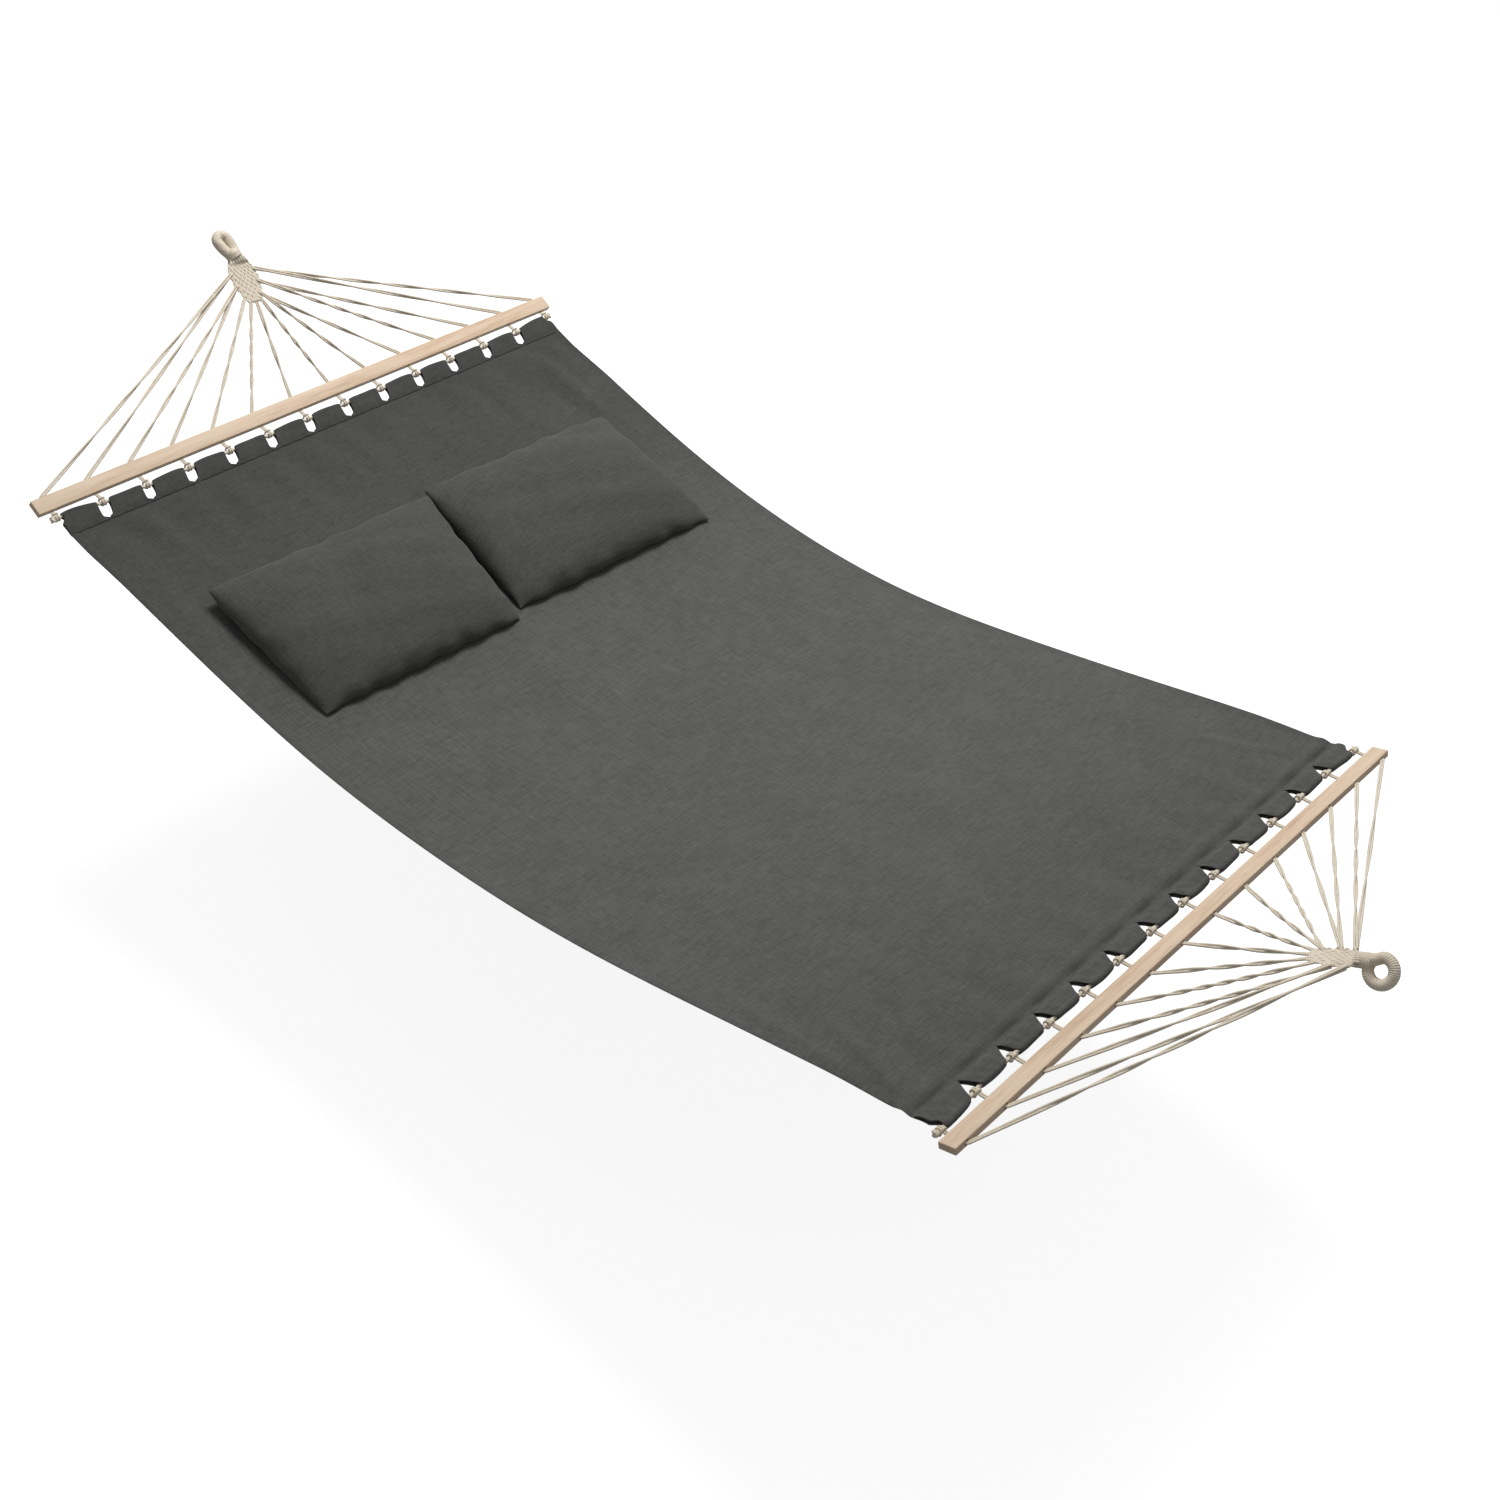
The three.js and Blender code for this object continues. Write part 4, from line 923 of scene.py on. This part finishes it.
path, ringNormal, ringSide = footEyePath()
path = softPath(path, 0.0005, 0.0025)
share = np.linspace(0, 1, len(path))
size = eyePlan["foot"]["reach"] * (1.06 - 0.08 * ease(share, 0.0, 0.2) - 0.06 * ease(share, 0.9, 1.0))
makeLoop(foot, path, size, 30, ringNormal)
u = np.linspace(-0.003, 0.017, 70)
throatPath = foot["neck"] + foot["out"] * u[:, None] + ringSide * (0.10 * u + 0.0005)[:, None]
makeThroat(foot, throatPath, np.interp(u, *eyePlan["foot"]["throat"]), 40, ringNormal)


# Pillows
pillowPlan = {
    "left": {"centre": (-0.627, -0.322), "turn": -1.5, "seed": 3},
    "right": {"centre": (-0.635, 0.276), "turn": -0.6, "seed": 8},
    "width": 0.572, "height": 0.408, "thickness": 0.085, "seam": 0.028, "seamTilt": 0.010, "tip": 9.2,
    # how much of the calm form and of the straight outline is mixed into the blown-up one
    "calm": 0.75, "straight": 0.75,
    # how far each corner sinks, and how far it moves towards the foot and to the right side:
    # back left, back right, front left, front right
    "drops": {"left": (0.002, -0.016, 0.008, 0.006), "right": (-0.014, 0.000, 0.006, 0.008)},
    "drawn": {"left": ((0.004, 0.006), (0.018, 0.022), (-0.020, 0.012), (-0.018, -0.024)),
              "right": ((0.016, 0.000), (0.022, -0.004), (-0.024, -0.036), (-0.002, -0.012))},
    "cells": (84, 60), "pressure": 1.6, "frames": 22, "swell": 0.090, "opening": 0.012, "quickOpening": 0.045,
}


# Two sheets sewn round their edge, opened like a lens: height (1 - a^4)^0.5 (1 - b^4)^0.5. They are blown up as
# cloth, so that the seam draws in and puckers, and the corners stay pointed.
def pillowShape(seed):
    nu, nv = pillowPlan["cells"]
    a, b = np.meshgrid(np.linspace(-1, 1, nv + 1), np.linspace(-1, 1, nu + 1), indexing="ij")
    lens = np.sqrt(np.clip((1 - a**4) * (1 - b**4), 0, 1))
    x = a * pillowPlan["height"] / 2 * 1.04
    y = b * pillowPlan["width"] / 2 * 1.04
    uneven = 0.06 * np.sin(seed + 7 * a + 5 * b) + 0.05 * np.sin(2 * seed + 11 * b - 6 * a)
    opening = pillowPlan["opening"]
    top = np.stack([x, y, opening * lens * (1 + uneven)], -1)
    low = np.stack([x, y, -opening * lens * (1 - uneven)], -1)
    rows, columns = a.shape
    points = np.concatenate([top.reshape(-1, 3), low.reshape(-1, 3)])
    topFaces, lowFaces = gridFaces(rows, columns, False)[:, ::-1], gridFaces(rows, columns, False, rows * columns)
    return points, np.concatenate([topFaces, lowFaces])


def blowUp(piece):  # cloth under an even pressure, without weight
    cloth = piece.modifiers.new("cloth", "CLOTH")
    s = cloth.settings
    s.quality, s.mass, s.air_damping = 8, 0.25, 3.0
    s.tension_stiffness, s.compression_stiffness, s.shear_stiffness, s.bending_stiffness = 40, 40, 16, 0.3
    s.tension_damping, s.compression_damping, s.shear_damping, s.bending_damping = 10, 10, 8, 0.5
    s.use_pressure, s.uniform_pressure_force = True, pillowPlan["pressure"]
    s.effector_weights.gravity = 0
    cloth.collision_settings.use_collision = False
    cloth.point_cache.frame_start, cloth.point_cache.frame_end = 1, pillowPlan["frames"]
    for step in range(1, pillowPlan["frames"] + 1):
        bpy.context.scene.frame_set(step)
    applyModifiers(piece)
    bpy.context.scene.frame_set(1)


# Caps each point's way from where it began, brings the form to its size, mixes it with a calm one, tips it to the
# bed and flattens it there. Calm form: upper (1 - a^2.1)^0.62 (1 - b^4)^0.5, lower (1 - a^4)^0.42 (1 - b^4)^0.42,
# a from the back edge to the front, b from left to right, both -1 to 1.
def settlePillow(piece, label, start):
    plan = pillowPlan[label]
    co = np.empty(len(piece.data.vertices) * 3, np.float32)
    piece.data.vertices.foreach_get("co", co)
    co = co.reshape(-1, 3).astype(float)
    moved = co - start
    far = np.linalg.norm(moved, axis=1, keepdims=True)
    co = start + moved * np.minimum(1, pillowPlan["swell"] / np.maximum(far, 1e-9))
    co -= (co.max(0) + co.min(0)) / 2
    halves = np.array([pillowPlan["height"], pillowPlan["width"]]) / 2
    grid = start[:, :2] / start[:, :2].max(0)
    co[:, :2] *= halves / co[:, :2].max(0)
    co[:, :2] += (grid * halves - co[:, :2]) * pillowPlan["straight"]
    a, b = grid.T
    upper, lower = pillowPlan["thickness"] - pillowPlan["seam"], pillowPlan["seam"] + 0.016
    sheet = np.sign(np.round(start[:, 2], 6))
    tall = np.where(sheet > 0, upper / np.percentile(co[sheet > 0, 2], 98), lower / -co[sheet < 0, 2].min())
    upperForm = (1 - np.abs(a) ** 2.1) ** 0.62 * (1 - np.abs(b) ** 4) ** 0.5
    full = np.where(sheet > 0, upperForm, ((1 - a**4) * (1 - b**4)) ** 0.42)
    k = plan["seed"]
    pucker = 0.0022 * np.sin(34 * b + 5 * k + 4 * a) * np.exp(-(1 - np.abs(a)) * 9)  # along the front and back seams
    pucker = pucker + 0.0018 * np.sin(27 * a + 5 * b + k) * np.exp(-(1 - np.abs(b)) * 12)  # along the side seams
    pucker = pucker + 0.0022 * np.sin(5 * a + 3 * b + k) * np.sin(6 * b - 2 * a + 2 * k)  # broad dents
    pucker = pucker + 0.0010 * np.sin(13 * a - 6 * b + 3 * k)
    calm = np.where(sheet > 0, upper * full, -lower * full)
    calmShare = pillowPlan["calm"]
    co[:, 2] = co[:, 2] * tall * (1 - calmShare) + calm * calmShare + pucker * np.sqrt(full)
    weights = np.stack([(1 - a) * (1 - b), (1 - a) * (1 + b), (1 + a) * (1 - b), (1 + a) * (1 + b)]) / 4
    drop = np.array(pillowPlan["drops"][label]) @ weights
    drawn = np.array(pillowPlan["drawn"][label]).T @ weights**1.3
    co[:, :2] += drawn.T
    co[:, 0] += 0.0025 * np.sin(21 * b + 3 * k) * np.abs(a) ** 8
    wave = 0.0030 * np.sin(17 * b + 2 * k) * np.abs(a) ** 10 + 0.0025 * np.sin(15 * a + k) * np.abs(b) ** 14
    seamHeight = pillowPlan["seam"] - pillowPlan["seamTilt"] * a - 0.006 * np.abs(b) ** 6
    height = co[:, 2] + seamHeight + wave - drop * np.abs(a * b) ** 1.5
    floor = 0.0018 + 0.0006 * np.sin(30 * a) * np.sin(27 * b)
    above = height - floor  # what would sink into the bed is flattened: (x + (x^2 + d^2)^0.5) / 2
    height = floor + 0.5 * (above + np.sqrt(above**2 + 0.006**2)) - 0.0015 * np.exp(-((height / 0.02) ** 2))
    c, s = math.cos(math.radians(plan["turn"])), math.sin(math.radians(plan["turn"]))
    tip = math.radians(pillowPlan["tip"])
    x = plan["centre"][0] + (co[:, 0] * c - co[:, 1] * s) * math.cos(tip)
    y = plan["centre"][1] + co[:, 0] * s + co[:, 1] * c
    t = -1 + 2 * (x - head["seam"][0]) / (foot["seam"][0] - head["seam"][0])
    ground = bedLine(t)[1] + bedHeight(x, y) + bedPlan["thickness"] / 2
    lift = unit(np.array([math.sin(tip), 0, math.cos(tip)]))
    placed = np.stack([x, y, ground], -1) + lift * height[:, None]
    piece.data.vertices.foreach_set("co", placed.astype(np.float32).reshape(-1))
    piece.data.update()


def makePillow(label):
    points, quads = pillowShape(pillowPlan[label]["seed"])
    piece = meshPiece(label + "Pillow", points, quads, material=pillowCanvas)
    weld = piece.modifiers.new("weld", "WELD")
    weld.merge_threshold = 0.00002
    applyModifiers(piece)
    start = np.empty(len(piece.data.vertices) * 3, np.float32)
    piece.data.vertices.foreach_get("co", start)
    start = start.reshape(-1, 3).astype(float)
    blowUp(piece)
    settlePillow(piece, label, start)
    finer = piece.modifiers.new("finer", "SUBSURF")
    finer.levels = finer.render_levels = 1
    applyModifiers(piece)
    dress(piece, label + "_pillow", "pillow_canvas", label + "_pillow")


print("pillows")
makePillow("left")
makePillow("right")

# Stage, light and camera
stagePlan = {"floor": -1.05, "halfSize": 14.0, "floorTone": 0.40, "floorGlow": 0.86, "sky": 0.30}
keyPlan = {"place": (-1.6, 1.3, 4.2), "target": (0.0, 0.0, -0.3), "size": 2.2, "power": 216}
# the camera stands where the photograph was taken from; its frame is 1500 by 1500 pixels
cameraPlan = {
    "place": (2.0604, -2.8633, 2.4457), "focalPixels": 2167.404, "framePixels": 1500, "sensor": 36,
    "right": (0.75249291, 0.6425133, 0.14467576), "down": (0.50224057, -0.41772298, -0.75714063),
    "view": (-0.42603854, 0.64240499, -0.63702982),
}


def seenAsIs(tree):  # 1 where the camera, a gloss or a glass looks straight at it
    rays = addNode(tree, "ShaderNodeLightPath").outputs
    through = calc(tree, "MAXIMUM", rays["Is Glossy Ray"], rays["Is Transmission Ray"])
    return calc(tree, "MAXIMUM", rays["Is Camera Ray"], through)


def standAt(thing, side, up, back, place):  # a lamp and a camera look along the opposite of back
    bpy.context.scene.collection.objects.link(thing)
    thing.matrix_world = Matrix(np.vstack([np.column_stack([side, up, back, place]), [0, 0, 0, 1]]).tolist())


def makeStage():  # one flat square
    size, low = stagePlan["halfSize"], stagePlan["floor"]
    points = np.array([[-size, -size, low], [size, -size, low], [size, size, low], [-size, size, low]], float)
    floor = meshPiece("floor", points, np.array([[0, 1, 2, 3]]))
    material = bpy.data.materials.new("paleFloor")
    material.use_nodes = True
    tree = material.node_tree
    tree.nodes.clear()
    diffuse = addNode(tree, "ShaderNodeBsdfDiffuse", inputs={"Color": (stagePlan["floorTone"],) * 3 + (1,)})
    strength = calc(tree, "MULTIPLY", seenAsIs(tree), stagePlan["floorGlow"])
    glow = addNode(tree, "ShaderNodeEmission", inputs={"Color": (1, 1, 1, 1), "Strength": strength})
    total = addNode(tree, "ShaderNodeAddShader", inputs={0: diffuse.outputs[0], 1: glow.outputs[0]})
    addNode(tree, "ShaderNodeOutputMaterial", inputs={"Surface": total.outputs[0]})
    floor.data.materials.append(material)


def makeWorld():  # white to the camera, a soft grey light to the cloth
    world = bpy.data.worlds.new("studio")
    bpy.context.scene.world = world
    world.use_nodes = True
    tree = world.node_tree
    background = tree.nodes["Background"]
    background.inputs["Color"].default_value = (1, 1, 1, 1)
    tree.links.new(remap(tree, seenAsIs(tree), 0, 1, stagePlan["sky"], 1.0), background.inputs["Strength"])


def makeKey():  # one broad lamp
    lamp = bpy.data.lights.new("key", "AREA")
    lamp.shape, lamp.size, lamp.energy = "DISK", keyPlan["size"], keyPlan["power"]
    back = unit(np.array(keyPlan["place"]) - np.array(keyPlan["target"]))
    side = unit(np.cross([0, 0, 1], back))
    standAt(bpy.data.objects.new("key", lamp), side, np.cross(back, side), back, keyPlan["place"])


def makeCamera():
    camera = bpy.data.objects.new("camera", bpy.data.cameras.new("camera"))
    camera.data.sensor_width = cameraPlan["sensor"]
    camera.data.lens = cameraPlan["focalPixels"] / cameraPlan["framePixels"] * cameraPlan["sensor"]
    camera.data.clip_end = 100
    right, down, view = (np.array(cameraPlan[k]) for k in ("right", "down", "view"))
    standAt(camera, right, -down, -view, cameraPlan["place"])
    return camera


print("stage, light and camera")
makeStage()
makeWorld()
makeKey()
bpy.context.scene.camera = makeCamera()
bpy.context.scene.view_settings.view_transform = "Standard"

print("hammock done")
